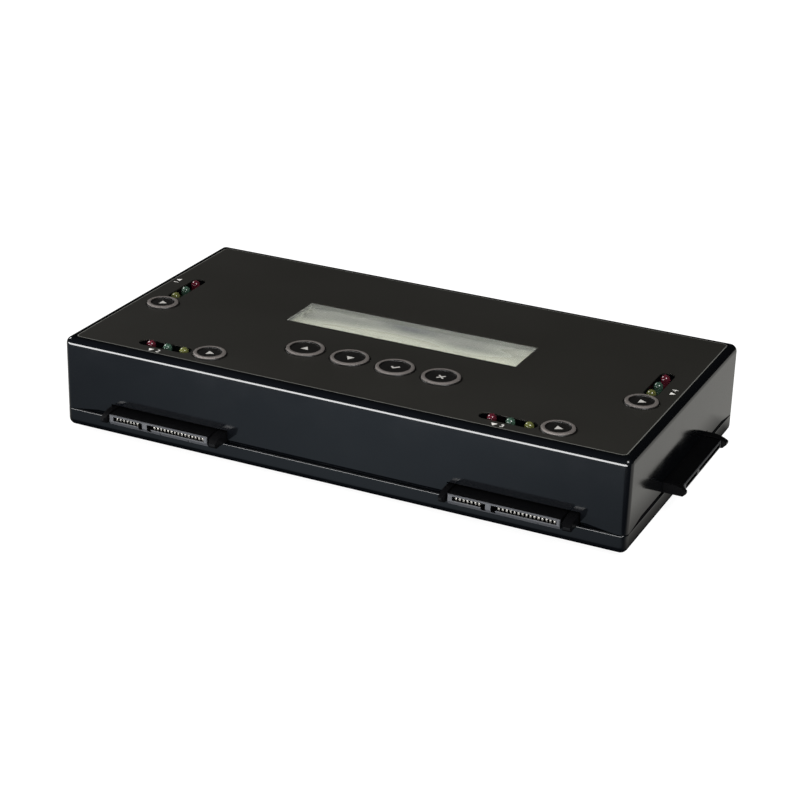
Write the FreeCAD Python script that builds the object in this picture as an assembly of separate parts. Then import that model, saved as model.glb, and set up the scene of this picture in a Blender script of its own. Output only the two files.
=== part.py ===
"""A four-port hard drive eraser: moulded case, display, keys, lamps, drive ports and what they hold inside.

Millimetres. While the pieces are made, x and y are zero at the middle of the case and z is zero at
the underside of its tray, with the front at -y. Each piece is moved to the finished frame when it is
saved: origin under the middle of the overall box, on the plane that the feet stand on.
"""
import FreeCAD
import Part
import math
import os

from FreeCAD import Vector

# Case
CASE_LENGTH = 195.0
CASE_WIDTH = 103.0
CASE_HEIGHT = 31.0
WALL = 2.4
PANEL = 2.0
FLOOR = 2.2
CORNER_RADIUS = 2.5
INNER_CORNER_RADIUS = 0.6
TOP_EDGE_RADIUS = 2.3
BOTTOM_EDGE_RADIUS = 2.4

# Joint between the tray and the cover
TRAY_RIM = 6.4
RIM_EDGE_RADIUS = 0.5
SEAM = 0.15
GROOVE_HEIGHT = 0.45
GROOVE_CHAMFER = 0.9
GROOVE_END = 3.5
GROOVE_TAPER = 9.0
LIP_THICKNESS = 1.1
LIP_HEIGHT = 1.8
LIP_CLEARANCE = 0.15

# Case screws, their columns and the feet
COLUMN_INSET = 8.5
COLUMN_RADIUS = 3.6
COLUMN_CLEARANCE = 1.0
COLUMN_SEAT = 6.0
CASE_SCREW_RADIUS = 1.45
CASE_SCREW_HEAD_RADIUS = 2.9
CASE_SCREW_HEAD = 2.2
CASE_SCREW_GRIP = 8.0
HEAD_RECESS = 2.6
HEAD_CLEARANCE = 0.3
SCREW_CLEARANCE = 0.05
FOOT_RADIUS = 5.0
FOOT_HEIGHT = 1.5
FOOT_RECESS = 0.8
FOOT_INSET = 20.0
FOOT_CLEARANCE = 0.15
FOOT_EDGE = 0.5
LABEL_LENGTH = 70.0
LABEL_WIDTH = 38.0
LABEL_RECESS = 0.3
LABEL_CORNER_RADIUS = 2.0

# Overlay sheet let into the top
OVERLAY_INSET = 2.5
OVERLAY_RECESS = 0.45
OVERLAY_THICKNESS = 0.4
OVERLAY_GAP = 0.3
OVERLAY_CORNER_RADIUS = 2.0

# Boards and their small screws
BOARD = 1.6
BOARD_GAP = 0.6
MAIN_STANDOFF = 1.7
STANDOFF_RADIUS = 3.0
STANDOFF_FROM_END = 27.0
STANDOFF_FROM_FRONT = 20.0
CONTROL_DROP = 10.0
CONTROL_REAR_GAP = 7.0
CONTROL_POST_RADIUS = 3.0
CONTROL_POST_FROM_END = 31.0
CONTROL_POST_FROM_REAR = 15.0
CONTROL_POST_FROM_FRONT = 12.0
CONTROL_POST_APART = 24.0
BOARD_SCREW_RADIUS = 1.15
BOARD_SCREW_HEAD_RADIUS = 2.3
BOARD_SCREW_HEAD = 1.5
BOARD_SCREW_GRIP = 4.0
STANDOFF_GRIP = 2.4
SCREW_TIP_ROOM = 0.4

# Display
WINDOW_LENGTH = 82.7
WINDOW_WIDTH = 18.0
WINDOW_X = -0.5
WINDOW_FROM_FRONT = 57.6
WINDOW_FLANGE = 1.8
WINDOW_FLANGE_THICKNESS = 1.0
WINDOW_GAP = 0.15
DISPLAY_BOARD_LENGTH = 116.0
DISPLAY_BOARD_WIDTH = 37.0
DISPLAY_HOLE_INSET = 2.6
DISPLAY_POST_RADIUS = 2.4
DISPLAY_FRAME_LENGTH = 97.0
DISPLAY_FRAME_WIDTH = 25.0
DISPLAY_FRAME_SHEET = 0.5
DISPLAY_FRAME_GAP = 0.05
DISPLAY_FRAME_EDGE = 0.4
DISPLAY_OPENING_MARGIN = 1.0
DISPLAY_GLASS = 1.6
DISPLAY_SEAT_GAP = 0.1
HEADER_HEIGHT = 2.5
HEADER_WIDTH = 2.5
HEADER_PITCH = 2.54
DISPLAY_HEADER_WAYS = 16
DISPLAY_HEADER_FROM_EDGE = 2.6

# Keys and the push switches under them
MENU_KEY_DIAMETER = 13.0
MENU_KEY_GAP = 3.0
MENU_KEYS_X = -0.3
MENU_KEYS_FROM_FRONT = 29.0
GO_KEY_DIAMETER = 11.0
KEY_CLEARANCE = 0.25
KEY_RIM = 1.4
KEY_RIM_RISE = 0.5
KEY_RIM_ROUND = 0.25
KEY_PROUD = 0.3
KEY_WALL = 1.2
KEY_FLANGE = 0.7
KEY_FLANGE_THICKNESS = 1.0
KEY_FLANGE_GAP = 0.1
KEY_STEM_RADIUS = 1.6
KEY_TRAVEL = 0.45
SWITCH_SIZE = 6.0
SWITCH_HEIGHT = 3.5
PLUNGER_RADIUS = 1.7
PLUNGER_CLEARANCE = 0.1
PLUNGER_TOP = 7.3
PLUNGER_SUNK = 1.1
PLUNGER_SPARE = 0.15

# Status lamps
LAMP_RADIUS = 1.5
LAMP_FLANGE_LIP = 0.4
LAMP_FLANGE = 1.0
LAMP_HEIGHT = 5.3
LAMP_PROUD = 1.0
LAMP_SLOT_WIDTH = 5.0
LAMP_SLOT_END = 2.6
LAMP_SLOT_FAR_END = 4.2
LAMP_HOLDER_GAP = 0.3
LAMP_BORE_RADIUS = 1.6
LEAD_THICKNESS = 0.5
LEAD_SPACING = 2.2
LAMP_FROM_KEY_EDGE = 3.2

# Drive ports, seen from outside with the seven signal contacts on the left
CONTACT_PITCH = 1.27
SIGNAL_CONTACTS = 7
POWER_CONTACTS = 15
SEGMENT_STEP = 6.35
CONTACT_WIDTH = 0.64
CONTACT_THICKNESS = 0.25
PORT_BOTTOM = 6.5
PORT_TOP = 10.6
NOSE_BOTTOM = 6.7
NOSE_TOP = 10.25
NOSE_REACH = 6.0
NOSE_LEFT = 2.5
NOSE_RIGHT = 2.0
NOSE_EDGE = 0.25
NOSE_BEVEL_HEIGHT = 1.3
NOSE_BEVEL_DEPTH = 0.9
NOSE_MARKS = (0.65, 10.95)
NOSE_MARK_RADIUS = 0.35
NOSE_MARK_HEIGHT = 7.2
SLOT_BOTTOM = 8.3
SLOT_TOP = 9.7
SLOT_DEPTH = 6.5
SLOT_END = 0.95
KEYWAY_REACH = 2.3
KEYWAY_WIDTH = 1.5
KEYWAY_BOTTOM = 7.25
PASSAGE_HEIGHT = 0.32
PASSAGE_MARGIN = 0.64
ARM_REACH = 7.3
ARM_BOTTOM = 7.2
ARM_CURVE_START = 2.0
ARM_TIP_TOP = 9.0
ARM_TIP_BOTTOM = 8.2
ARM_LEFT = (5.0, 3.1)
ARM_RIGHT = (2.8, 5.7)
ARM_LEAD_IN = 0.7
PORT_BLOCK_DEPTH = 6.7
PORT_BLOCK_GAP = 0.4
PORT_CLEARANCE = 0.4
CONTACT_TAIL = 2.2
CONTACT_TAIL_GAP = 0.35
CONTACT_TIP = 0.9
CONTACT_RISE = 0.62
CONTACT_CROWN = 0.8
CONTACT_EDGE = 0.15

# Rear panel
REAR_CENTRE = 13.0
JACK_X = 56.0
JACK_CENTRE = 12.5
JACK_WIDTH = 9.0
JACK_DEPTH = 13.4
JACK_WALL_GAP = 0.1
JACK_TOP = 16.5
JACK_COLLAR_RADIUS = 3.9
JACK_COLLAR_PROUD = 0.6
JACK_COLLAR_CLEARANCE = 0.2
JACK_BORE_RADIUS = 3.15
JACK_BORE_DEPTH = 9.0
JACK_PIN_RADIUS = 1.0
JACK_PIN_SHY = 1.0
SWITCH_X = 36.0
ROCKER_TILT = 10.0
ROCKER_HALF = 3.9
ROCKER_CENTRE = 2.8
ROCKER_HEIGHT = 6.4
ROCKER_CLEARANCE = 0.2
ROCKER_HUB = 2.2
ROCKER_PIVOT_DEPTH = 1.2
TRUNNION_RADIUS = 1.1
TRUNNION_LENGTH = 0.7
TRUNNION_CLEARANCE = 0.07
BEZEL_RIM = 1.1
BEZEL_THICKNESS = 1.6
BEZEL_RADIUS = 1.0
POWER_SWITCH_CHEEK = 0.9
POWER_SWITCH_DEPTH = 12.0
POWER_SWITCH_GAP = 0.2
TERMINAL_WIDTH = 2.0
TERMINAL_THICKNESS = 0.6
TERMINAL_REACH = 2.4
TERMINAL_SPACING = 6.0
SERIAL_X = -50.0
SERIAL_SHELL_WIDTH = 17.0
SERIAL_SHELL_HEIGHT = 8.6
SERIAL_SHELL_SLANT = 10.0
SERIAL_SHELL_RADIUS = 2.2
SERIAL_SHELL_WALL = 0.5
SERIAL_SHELL_REACH = 5.9
SERIAL_FLANGE_LENGTH = 30.8
SERIAL_FLANGE_WIDTH = 12.5
SERIAL_FLANGE = 0.8
SERIAL_CUTOUT_GAP = 0.4
SERIAL_INSULATOR_FACE = 0.9
SERIAL_INSULATOR_GAP = 0.05
SERIAL_BLOCK_DEPTH = 7.0
SERIAL_BLOCK_HALF = 9.6
SERIAL_BLOCK_TOP = 4.2
SERIAL_PIN_PITCH = 2.77
SERIAL_ROW = 1.42
SERIAL_PIN_RADIUS = 0.5
SERIAL_PIN_LENGTH = 4.2
LOCK_NUT_SPACING = 24.99
LOCK_NUT_FLATS = 4.8
LOCK_NUT_REACH = 5.0
LOCK_NUT_BORE_RADIUS = 1.2
LOCK_NUT_BORE = 4.5
LOCK_STUD_RADIUS = 1.4
LOCK_STUD_CLEARANCE = 0.1
LOCK_STUD_PAST = 1.5

# Parts on the main board
PROCESSOR_SIZE = 20.0
PROCESSOR_HEIGHT = 1.6
PROCESSOR_Y = -4.0
BRIDGE_SIZE = 12.0
BRIDGE_HEIGHT = 1.2
BRIDGE_INBOARD = 20.0
CAPACITOR_RADIUS = 4.0
CAPACITOR_HEIGHT = 9.0
CAPACITOR_PITCH = 10.0
CAPACITOR_COUNT = 4
CAPACITOR_X = -40.0
CAPACITOR_Y = 22.0
INDUCTOR_SIZE = 10.0
INDUCTOR_HEIGHT = 4.5
INDUCTOR_EDGE = 1.0
INDUCTOR_X = (26.0, 40.0)
INDUCTOR_Y = -12.0
LINK_X = 35.0
LINK_Y = 20.0
LINK_WAYS = 10
LINK_WIDTH = 5.08
LINK_GAP = 0.9
LINK_SOCKET_WALL = 0.8
LINK_WELL = 6.0
LINK_PIN = 0.64
LINK_PIN_REACH = 6.0

MENU_KEY_NAMES = ["up", "down", "select", "back"]
LAMP_COLOURS = ["yellow", "green", "red"]

TINY = 0.01
FULL_TURN = 360.0
HALF_LENGTH = CASE_LENGTH / 2
HALF_WIDTH = CASE_WIDTH / 2
COVER_BOTTOM = TRAY_RIM + SEAM
LIP_TOP = TRAY_RIM + LIP_HEIGHT
PANEL_UNDERSIDE = CASE_HEIGHT - PANEL
RECESS_FLOOR = CASE_HEIGHT - OVERLAY_RECESS
OVERLAY_TOP = RECESS_FLOOR + OVERLAY_THICKNESS
MAIN_BOTTOM = FLOOR + MAIN_STANDOFF
MAIN_TOP = MAIN_BOTTOM + BOARD
CONTROL_TOP = PANEL_UNDERSIDE - CONTROL_DROP
CONTROL_BOTTOM = CONTROL_TOP - BOARD
WINDOW_Y = WINDOW_FROM_FRONT - HALF_WIDTH
DISPLAY_BOTTOM = CONTROL_TOP + HEADER_HEIGHT
DISPLAY_TOP = DISPLAY_BOTTOM + BOARD
FRAME_TOP = PANEL_UNDERSIDE - DISPLAY_FRAME_GAP
GLASS_TOP = FRAME_TOP - DISPLAY_FRAME_SHEET
GLASS_BOTTOM = GLASS_TOP - DISPLAY_GLASS
MENU_KEYS_Y = MENU_KEYS_FROM_FRONT - HALF_WIDTH
MENU_KEY_PITCH = MENU_KEY_DIAMETER + MENU_KEY_GAP
PLUNGER_REST = CONTROL_TOP + PLUNGER_TOP
LAMP_BASE = OVERLAY_TOP + LAMP_PROUD - LAMP_HEIGHT
LAMP_FLANGE_RADIUS = LAMP_RADIUS + LAMP_FLANGE_LIP
LAMP_FROM_KEY = GO_KEY_DIAMETER / 2 + LAMP_FROM_KEY_EDGE
FIRST_CONTACT = -(CONTACT_PITCH * (SIGNAL_CONTACTS + POWER_CONTACTS - 2) + SEGMENT_STEP) / 2
SIGNAL_END = FIRST_CONTACT + CONTACT_PITCH * (SIGNAL_CONTACTS - 1)
POWER_START = SIGNAL_END + SEGMENT_STEP
LAST_CONTACT = -FIRST_CONTACT
PORT_BLOCK_FRONT = WALL + PORT_BLOCK_GAP
PORT_BLOCK_BACK = PORT_BLOCK_FRONT + PORT_BLOCK_DEPTH
ROCKER_PIVOT_Y = HALF_WIDTH - ROCKER_PIVOT_DEPTH
ROCKER_TIP = ROCKER_CENTRE + ROCKER_HALF * math.tan(math.radians(ROCKER_TILT))
ROCKER_RADIUS = math.hypot(ROCKER_HALF, ROCKER_TIP)
SWITCH_HALF_LENGTH = ROCKER_RADIUS + ROCKER_CLEARANCE + POWER_SWITCH_CHEEK
SWITCH_HALF_HEIGHT = ROCKER_HEIGHT / 2 + ROCKER_CLEARANCE + POWER_SWITCH_CHEEK
SERIAL_PLANE = HALF_WIDTH - WALL
FRONT_REACH = ARM_REACH
REAR_REACH = LOCK_NUT_REACH
FRAME_SHIFT = Vector(0, (FRONT_REACH - REAR_REACH) / 2, FOOT_HEIGHT)


class Port:
    """One drive port: where it stands on the case wall, and the key and lamps that belong to it."""

    def __init__(self, number, x, y, turn, key, lamp_side, lamp_pitch, key_inset, lamp_inset):
        self.number = number
        self.wall = Vector(x, y, 0)
        self.turn = turn
        self.key = (key, key_inset)
        first = key + lamp_side * LAMP_FROM_KEY
        places = [first + lamp_side * lamp_pitch * step for step in range(len(LAMP_COLOURS))]
        last = places[-1]
        self.lamps = [(along, lamp_inset) for along in places]
        self.lamp_ends = sorted((first - lamp_side * LAMP_SLOT_END, last + lamp_side * LAMP_SLOT_FAR_END))

    def place(self, shape):
        """Takes a shape made with the wall's outer face at y = 0, facing -y, to this port."""
        placed = shape.copy()
        placed.rotate(Vector(0, 0, 0), Vector(0, 0, 1), self.turn)
        placed.translate(self.wall)
        return placed

    def point(self, along, inset):
        """The case position of a spot given along the wall and inwards from it."""
        angle = math.radians(self.turn)
        x = along * math.cos(angle) - inset * math.sin(angle)
        y = along * math.sin(angle) + inset * math.cos(angle)
        return self.wall.x + x, self.wall.y + y


# Each port's own place, and the offsets of its key and lamps along the wall
FRONT_LEFT_FROM_END = 38.95
FRONT_RIGHT_FROM_END = 36.55
SIDE_PORT_FROM_FRONT = 52.9
FRONT_KEY = 9.4
FRONT_KEY_INSET = 10.8
FRONT_LAMP_INSET = 9.4
FRONT_LAMP_PITCH = 6.1
SIDE_KEY = 11.4
SIDE_KEY_INSET = 12.0
SIDE_LAMP_INSET = 11.8
SIDE_LAMP_PITCH = 6.6
SIDE_PORT_Y = SIDE_PORT_FROM_FRONT - HALF_WIDTH
PORTS = [
    Port(1, -HALF_LENGTH, SIDE_PORT_Y, -90, SIDE_KEY, -1, SIDE_LAMP_PITCH, SIDE_KEY_INSET, SIDE_LAMP_INSET),
    Port(2, FRONT_LEFT_FROM_END - HALF_LENGTH, -HALF_WIDTH, 0,
         FRONT_KEY, -1, FRONT_LAMP_PITCH, FRONT_KEY_INSET, FRONT_LAMP_INSET),
    Port(3, HALF_LENGTH - FRONT_RIGHT_FROM_END, -HALF_WIDTH, 0,
         FRONT_KEY, -1, FRONT_LAMP_PITCH, FRONT_KEY_INSET, FRONT_LAMP_INSET),
    Port(4, HALF_LENGTH, SIDE_PORT_Y, 90, -SIDE_KEY, 1, SIDE_LAMP_PITCH, SIDE_KEY_INSET, SIDE_LAMP_INSET),
]


def menu_key_places():
    """Centres of the four menu keys, left to right."""
    first = MENU_KEYS_X - MENU_KEY_PITCH * (len(MENU_KEY_NAMES) - 1) / 2
    return [(first + MENU_KEY_PITCH * step, MENU_KEYS_Y) for step in range(len(MENU_KEY_NAMES))]


def all_keys():
    """Name, centre and diameter of every key."""
    menu = zip(MENU_KEY_NAMES, menu_key_places())
    keys = [("key_" + name, place, MENU_KEY_DIAMETER) for name, place in menu]
    return keys + [(f"go_key_{port.number}", port.point(*port.key), GO_KEY_DIAMETER) for port in PORTS]


# Small building blocks

def box(x0, x1, y0, y1, z0, z1):
    """A block between two corners."""
    return Part.makeBox(x1 - x0, y1 - y0, z1 - z0, Vector(x0, y0, z0))


def block_at(x, y, length, width, z0, z1):
    """A block centred on a point of the plan."""
    return box(x - length / 2, x + length / 2, y - width / 2, y + width / 2, z0, z1)


def post(x, y, radius, z0, z1):
    """An upright cylinder."""
    return Part.makeCylinder(radius, z1 - z0, Vector(x, y, z0))


def rod(x, z, radius, y0, y1):
    """A cylinder that runs from front to back."""
    return Part.makeCylinder(radius, y1 - y0, Vector(x, y0, z), Vector(0, 1, 0))


def upright_edges(shape):
    """The edges that run straight up."""
    return [e for e in shape.Edges if e.BoundBox.XLength < TINY and e.BoundBox.YLength < TINY]


def level_edges(shape, z):
    """The edges that lie at one height."""
    return [e for e in shape.Edges if abs(e.BoundBox.ZMin - z) < TINY and abs(e.BoundBox.ZMax - z) < TINY]


def rounded(shape, radius):
    """A block with its upright corners rounded."""
    return shape.makeFillet(radius, upright_edges(shape))


def case_block(inset, radius, z0, z1):
    """A block with the case's outline, drawn in from its sides."""
    plan = block_at(0, 0, CASE_LENGTH - 2 * inset, CASE_WIDTH - 2 * inset, z0, z1)
    return rounded(plan, radius)


def turned(outline, x, y):
    """A solid of revolution about an upright axis, from an outline of radius and height."""
    points = [Vector(radius, 0, z) for radius, z in outline]
    face = Part.Face(Part.makePolygon(points + points[:1]))
    solid = face.revolve(Vector(0, 0, 0), Vector(0, 0, 1), FULL_TURN)
    return solid.translated(Vector(x, y, 0))


def side_prism(outline, x0, x1):
    """A prism across the width, from an outline of y and z."""
    points = [Vector(x0, y, z) for y, z in outline]
    return Part.Face(Part.makePolygon(points + points[:1])).extrude(Vector(x1 - x0, 0, 0))


def lamp_slot(port, gap, z0, z1):
    """The round-ended slot shape that takes in one port's three lamps, drawn in by a gap."""
    left, right = port.lamp_ends
    inset = port.lamps[0][1]
    half = LAMP_SLOT_WIDTH / 2 - gap
    slot = box(left + gap, right - gap, inset - half, inset + half, z0, z1)
    return port.place(rounded(slot, half - TINY))


def corners(inset):
    """The four points a set distance in from both walls."""
    return [(sx * (HALF_LENGTH - inset), sy * (HALF_WIDTH - inset)) for sx in (-1, 1) for sy in (-1, 1)]


def standoff_places():
    """Screw points of the main board: two rows of three."""
    x = HALF_LENGTH - STANDOFF_FROM_END
    y = HALF_WIDTH - STANDOFF_FROM_FRONT
    return [(sx * x, sy * y) for sx in (-1, 0, 1) for sy in (-1, 1)]


def control_post_places():
    """Screw points of the control board: two near its front edge, two near the back."""
    front = [(side * CONTROL_POST_APART / 2, CONTROL_POST_FROM_FRONT - HALF_WIDTH) for side in (-1, 1)]
    x = HALF_LENGTH - CONTROL_POST_FROM_END
    return front + [(side * x, HALF_WIDTH - CONTROL_POST_FROM_REAR) for side in (-1, 1)]


def display_post_places():
    """Screw points at the corners of the display board."""
    x = DISPLAY_BOARD_LENGTH / 2 - DISPLAY_HOLE_INSET
    y = DISPLAY_BOARD_WIDTH / 2 - DISPLAY_HOLE_INSET
    return [(WINDOW_X + sx * x, WINDOW_Y + sy * y) for sx in (-1, 1) for sy in (-1, 1)]


def window_block(margin, z0, z1):
    """A block with the display window's outline, grown by a margin."""
    return block_at(WINDOW_X, WINDOW_Y, WINDOW_LENGTH + 2 * margin, WINDOW_WIDTH + 2 * margin, z0, z1)


# Case

def port_gap(port, z0, z1):
    """The room that one port needs in the case wall."""
    left = FIRST_CONTACT - ARM_LEFT[0] - PORT_CLEARANCE
    right = LAST_CONTACT + ARM_RIGHT[1] + PORT_CLEARANCE
    return port.place(box(left, right, -TINY, WALL + TINY, z0, z1))


def bottom_tray():
    """Lower shell: rounded below, with a locating lip, standoffs, screw bosses and foot recesses."""
    outer = case_block(0, CORNER_RADIUS, 0, TRAY_RIM)
    outer = outer.makeFillet(BOTTOM_EDGE_RADIUS, level_edges(outer, 0))
    outer = outer.makeFillet(RIM_EDGE_RADIUS, level_edges(outer, TRAY_RIM))
    tray = outer.cut(case_block(WALL, INNER_CORNER_RADIUS, FLOOR, TRAY_RIM + TINY))
    lip_inset = WALL - LIP_THICKNESS
    lip = case_block(lip_inset, CORNER_RADIUS - lip_inset, TRAY_RIM - TINY, LIP_TOP)
    lip = lip.cut(case_block(WALL, INNER_CORNER_RADIUS, TRAY_RIM - 2 * TINY, LIP_TOP + TINY))
    lip = lip.cut([port_gap(port, TRAY_RIM, LIP_TOP + TINY) for port in PORTS])
    bosses = [post(x, y, COLUMN_RADIUS, FLOOR - TINY, COLUMN_SEAT) for x, y in corners(COLUMN_INSET)]
    standoffs = [post(x, y, STANDOFF_RADIUS, FLOOR - TINY, MAIN_BOTTOM) for x, y in standoff_places()]
    tray = tray.fuse([lip] + bosses + standoffs)
    cuts = []
    for x, y in corners(COLUMN_INSET):
        cuts.append(post(x, y, CASE_SCREW_HEAD_RADIUS + HEAD_CLEARANCE, -TINY, HEAD_RECESS))
        cuts.append(post(x, y, CASE_SCREW_RADIUS + HEAD_CLEARANCE, HEAD_RECESS, COLUMN_SEAT + TINY))
    for x, y in standoff_places():
        depth = MAIN_BOTTOM - STANDOFF_GRIP - SCREW_TIP_ROOM
        cuts.append(post(x, y, BOARD_SCREW_RADIUS + SCREW_CLEARANCE, depth, MAIN_BOTTOM + TINY))
    for x, y in corners(FOOT_INSET):
        cuts.append(post(x, y, FOOT_RADIUS + FOOT_CLEARANCE, -TINY, FOOT_RECESS))
    cuts.append(rounded(block_at(0, 0, LABEL_LENGTH, LABEL_WIDTH, -TINY, LABEL_RECESS), LABEL_CORNER_RADIUS))
    return tray.cut(cuts).removeSplitter()


def shadow_groove(half):
    """The groove above the seam along one wall, made facing -y at y = 0; it runs out towards the corners."""
    top = COVER_BOTTOM + GROOVE_HEIGHT
    drop = GROOVE_HEIGHT + GROOVE_CHAMFER
    reach = half - GROOVE_END - GROOVE_TAPER
    outline = [(-TINY, COVER_BOTTOM - drop), (WALL - LIP_THICKNESS, COVER_BOTTOM - drop),
               (WALL - LIP_THICKNESS, top), (GROOVE_CHAMFER, top), (-TINY, top + GROOVE_CHAMFER + TINY)]
    ends = []
    for side in (-1, 1):
        points = [Vector(side * reach, y, z) for y, z in outline]
        section = Part.Face(Part.makePolygon(points + points[:1]))
        ends.append(section.extrude(Vector(side * GROOVE_TAPER, 0, -drop)))
    return side_prism(outline, -reach, reach).fuse(ends)


def shadow_grooves():
    """The grooves of all four walls."""
    grooves = []
    for turn, half, away in ((0, HALF_LENGTH, HALF_WIDTH), (90, HALF_WIDTH, HALF_LENGTH)):
        for angle in (turn, turn + FULL_TURN / 2):
            groove = shadow_groove(half).translated(Vector(0, -away, 0))
            grooves.append(groove.rotated(Vector(0, 0, 0), Vector(0, 0, 1), angle))
    return grooves


def cover_openings():
    """Everything cut through the cover: keys, lamps, display, ports and the rear panel."""
    through = (PANEL_UNDERSIDE - TINY, CASE_HEIGHT + TINY)
    cuts = [post(x, y, size / 2 + KEY_CLEARANCE, *through) for name, (x, y), size in all_keys()]
    cuts += [lamp_slot(port, 0, *through) for port in PORTS]
    cuts += [port_gap(port, COVER_BOTTOM - TINY, PORT_TOP + PORT_CLEARANCE) for port in PORTS]
    cuts.append(window_block(0, *through))
    ledge = RECESS_FLOOR - WINDOW_FLANGE_THICKNESS
    cuts.append(window_block(WINDOW_FLANGE + WINDOW_GAP, ledge, CASE_HEIGHT))
    behind = (HALF_WIDTH - WALL - TINY, HALF_WIDTH + TINY)
    cuts.append(rod(JACK_X, JACK_CENTRE, JACK_COLLAR_RADIUS + JACK_COLLAR_CLEARANCE, *behind))
    half_length = SWITCH_HALF_LENGTH + POWER_SWITCH_GAP
    half_height = SWITCH_HALF_HEIGHT + POWER_SWITCH_GAP
    cuts.append(rear_block(half_length, half_height, *behind))
    cuts.append(d_prism(SERIAL_CUTOUT_GAP, *behind))
    for side in (-1, 1):
        x = SERIAL_X + side * LOCK_NUT_SPACING / 2
        cuts.append(rod(x, REAR_CENTRE, LOCK_STUD_RADIUS + LOCK_STUD_CLEARANCE, *behind))
    return cuts


def cover_posts():
    """Columns and posts that hang from the top panel, and the screw holes in their ends."""
    posts = []
    holes = []
    case_hole = CASE_SCREW_RADIUS + SCREW_CLEARANCE
    case_hole_end = COLUMN_SEAT + CASE_SCREW_GRIP + SCREW_TIP_ROOM
    for x, y in corners(COLUMN_INSET):
        posts.append(post(x, y, COLUMN_RADIUS, COLUMN_SEAT, PANEL_UNDERSIDE + TINY))
        holes.append(post(x, y, case_hole, COLUMN_SEAT - TINY, case_hole_end))
    small_hole = BOARD_SCREW_RADIUS + SCREW_CLEARANCE
    hung = [(place, CONTROL_POST_RADIUS, CONTROL_TOP) for place in control_post_places()]
    hung += [(place, DISPLAY_POST_RADIUS, DISPLAY_TOP) for place in display_post_places()]
    for (x, y), radius, seat in hung:
        posts.append(post(x, y, radius, seat, PANEL_UNDERSIDE + TINY))
        holes.append(post(x, y, small_hole, seat - TINY, seat + BOARD_SCREW_GRIP + SCREW_TIP_ROOM))
    return posts, holes


def top_cover():
    """Upper shell: soft top edge, shadow grooves above the seam, sunk top for the overlay, posts inside."""
    outer = case_block(0, CORNER_RADIUS, COVER_BOTTOM, CASE_HEIGHT)
    outer = outer.makeFillet(TOP_EDGE_RADIUS, level_edges(outer, CASE_HEIGHT))
    shell = outer.cut(case_block(WALL, INNER_CORNER_RADIUS, COVER_BOTTOM - TINY, PANEL_UNDERSIDE))
    rebate_inset = WALL - LIP_THICKNESS - LIP_CLEARANCE
    rebate_top = LIP_TOP + LIP_CLEARANCE
    rebate = case_block(rebate_inset, CORNER_RADIUS - rebate_inset, COVER_BOTTOM - TINY, rebate_top)
    recess = case_block(OVERLAY_INSET, OVERLAY_CORNER_RADIUS, RECESS_FLOOR, CASE_HEIGHT + TINY)
    posts, holes = cover_posts()
    shell = shell.cut([rebate, recess] + shadow_grooves()).fuse(posts)
    return shell.cut(cover_openings() + holes).removeSplitter()


def control_overlay():
    """Thin sheet on the top panel, open at the keys, the lamps and the display window."""
    inset = OVERLAY_INSET + OVERLAY_GAP
    sheet = case_block(inset, OVERLAY_CORNER_RADIUS - OVERLAY_GAP, RECESS_FLOOR, OVERLAY_TOP)
    through = (RECESS_FLOOR - TINY, OVERLAY_TOP + TINY)
    cuts = [post(x, y, size / 2 + KEY_CLEARANCE, *through) for name, (x, y), size in all_keys()]
    cuts += [lamp_slot(port, 0, *through) for port in PORTS]
    cuts.append(window_block(WINDOW_GAP, *through))
    return sheet.cut(cuts)


def case_screws():
    """Pan-head screws that go up through the tray into the cover's columns."""
    head_bottom = HEAD_RECESS - CASE_SCREW_HEAD
    tip = COLUMN_SEAT + CASE_SCREW_GRIP
    outline = [(0, head_bottom), (CASE_SCREW_HEAD_RADIUS, head_bottom), (CASE_SCREW_HEAD_RADIUS, HEAD_RECESS),
               (CASE_SCREW_RADIUS, HEAD_RECESS), (CASE_SCREW_RADIUS, tip), (0, tip)]
    return [turned(outline, x, y) for x, y in corners(COLUMN_INSET)]


def rubber_feet():
    """Four round feet let into the underside."""
    edge = FOOT_RADIUS - FOOT_EDGE
    outline = [(0, -FOOT_HEIGHT), (edge, -FOOT_HEIGHT), (FOOT_RADIUS, FOOT_EDGE - FOOT_HEIGHT),
               (FOOT_RADIUS, FOOT_RECESS), (0, FOOT_RECESS)]
    return [turned(outline, x, y) for x, y in corners(FOOT_INSET)]


# Boards

def board_screw(x, y, seat, up, grip):
    """A small pan-head screw: its head bears on a board's face and its shank goes up or down."""
    way = 1 if up else -1
    head = seat - way * BOARD_SCREW_HEAD
    tip = seat + way * grip
    return turned([(0, head), (BOARD_SCREW_HEAD_RADIUS, head), (BOARD_SCREW_HEAD_RADIUS, seat),
                   (BOARD_SCREW_RADIUS, seat), (BOARD_SCREW_RADIUS, tip), (0, tip)], x, y)


def board_screws():
    """The same small screw wherever a board is held."""
    screws = [board_screw(x, y, MAIN_TOP, False, BOARD + STANDOFF_GRIP) for x, y in standoff_places()]
    grip = BOARD + BOARD_SCREW_GRIP
    screws += [board_screw(x, y, CONTROL_BOTTOM, True, grip) for x, y in control_post_places()]
    return screws + [board_screw(x, y, DISPLAY_BOTTOM, True, grip) for x, y in display_post_places()]


def case_board(rear_gap, z0, places):
    """A board that fills the case, notched at the corner columns and drilled for its screws."""
    side = WALL + BOARD_GAP
    rear = HALF_WIDTH - WALL - rear_gap
    board = box(side - HALF_LENGTH, HALF_LENGTH - side, side - HALF_WIDTH, rear, z0, z0 + BOARD)
    notch = 2 * (COLUMN_INSET + COLUMN_RADIUS + COLUMN_CLEARANCE)
    cuts = [block_at(sx * HALF_LENGTH, sy * HALF_WIDTH, notch, notch, z0 - TINY, z0 + BOARD + TINY)
            for sx in (-1, 1) for sy in (-1, 1)]
    hole = BOARD_SCREW_RADIUS + SCREW_CLEARANCE
    cuts += [post(x, y, hole, z0 - TINY, z0 + BOARD + TINY) for x, y in places]
    return board.cut(cuts)


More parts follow.
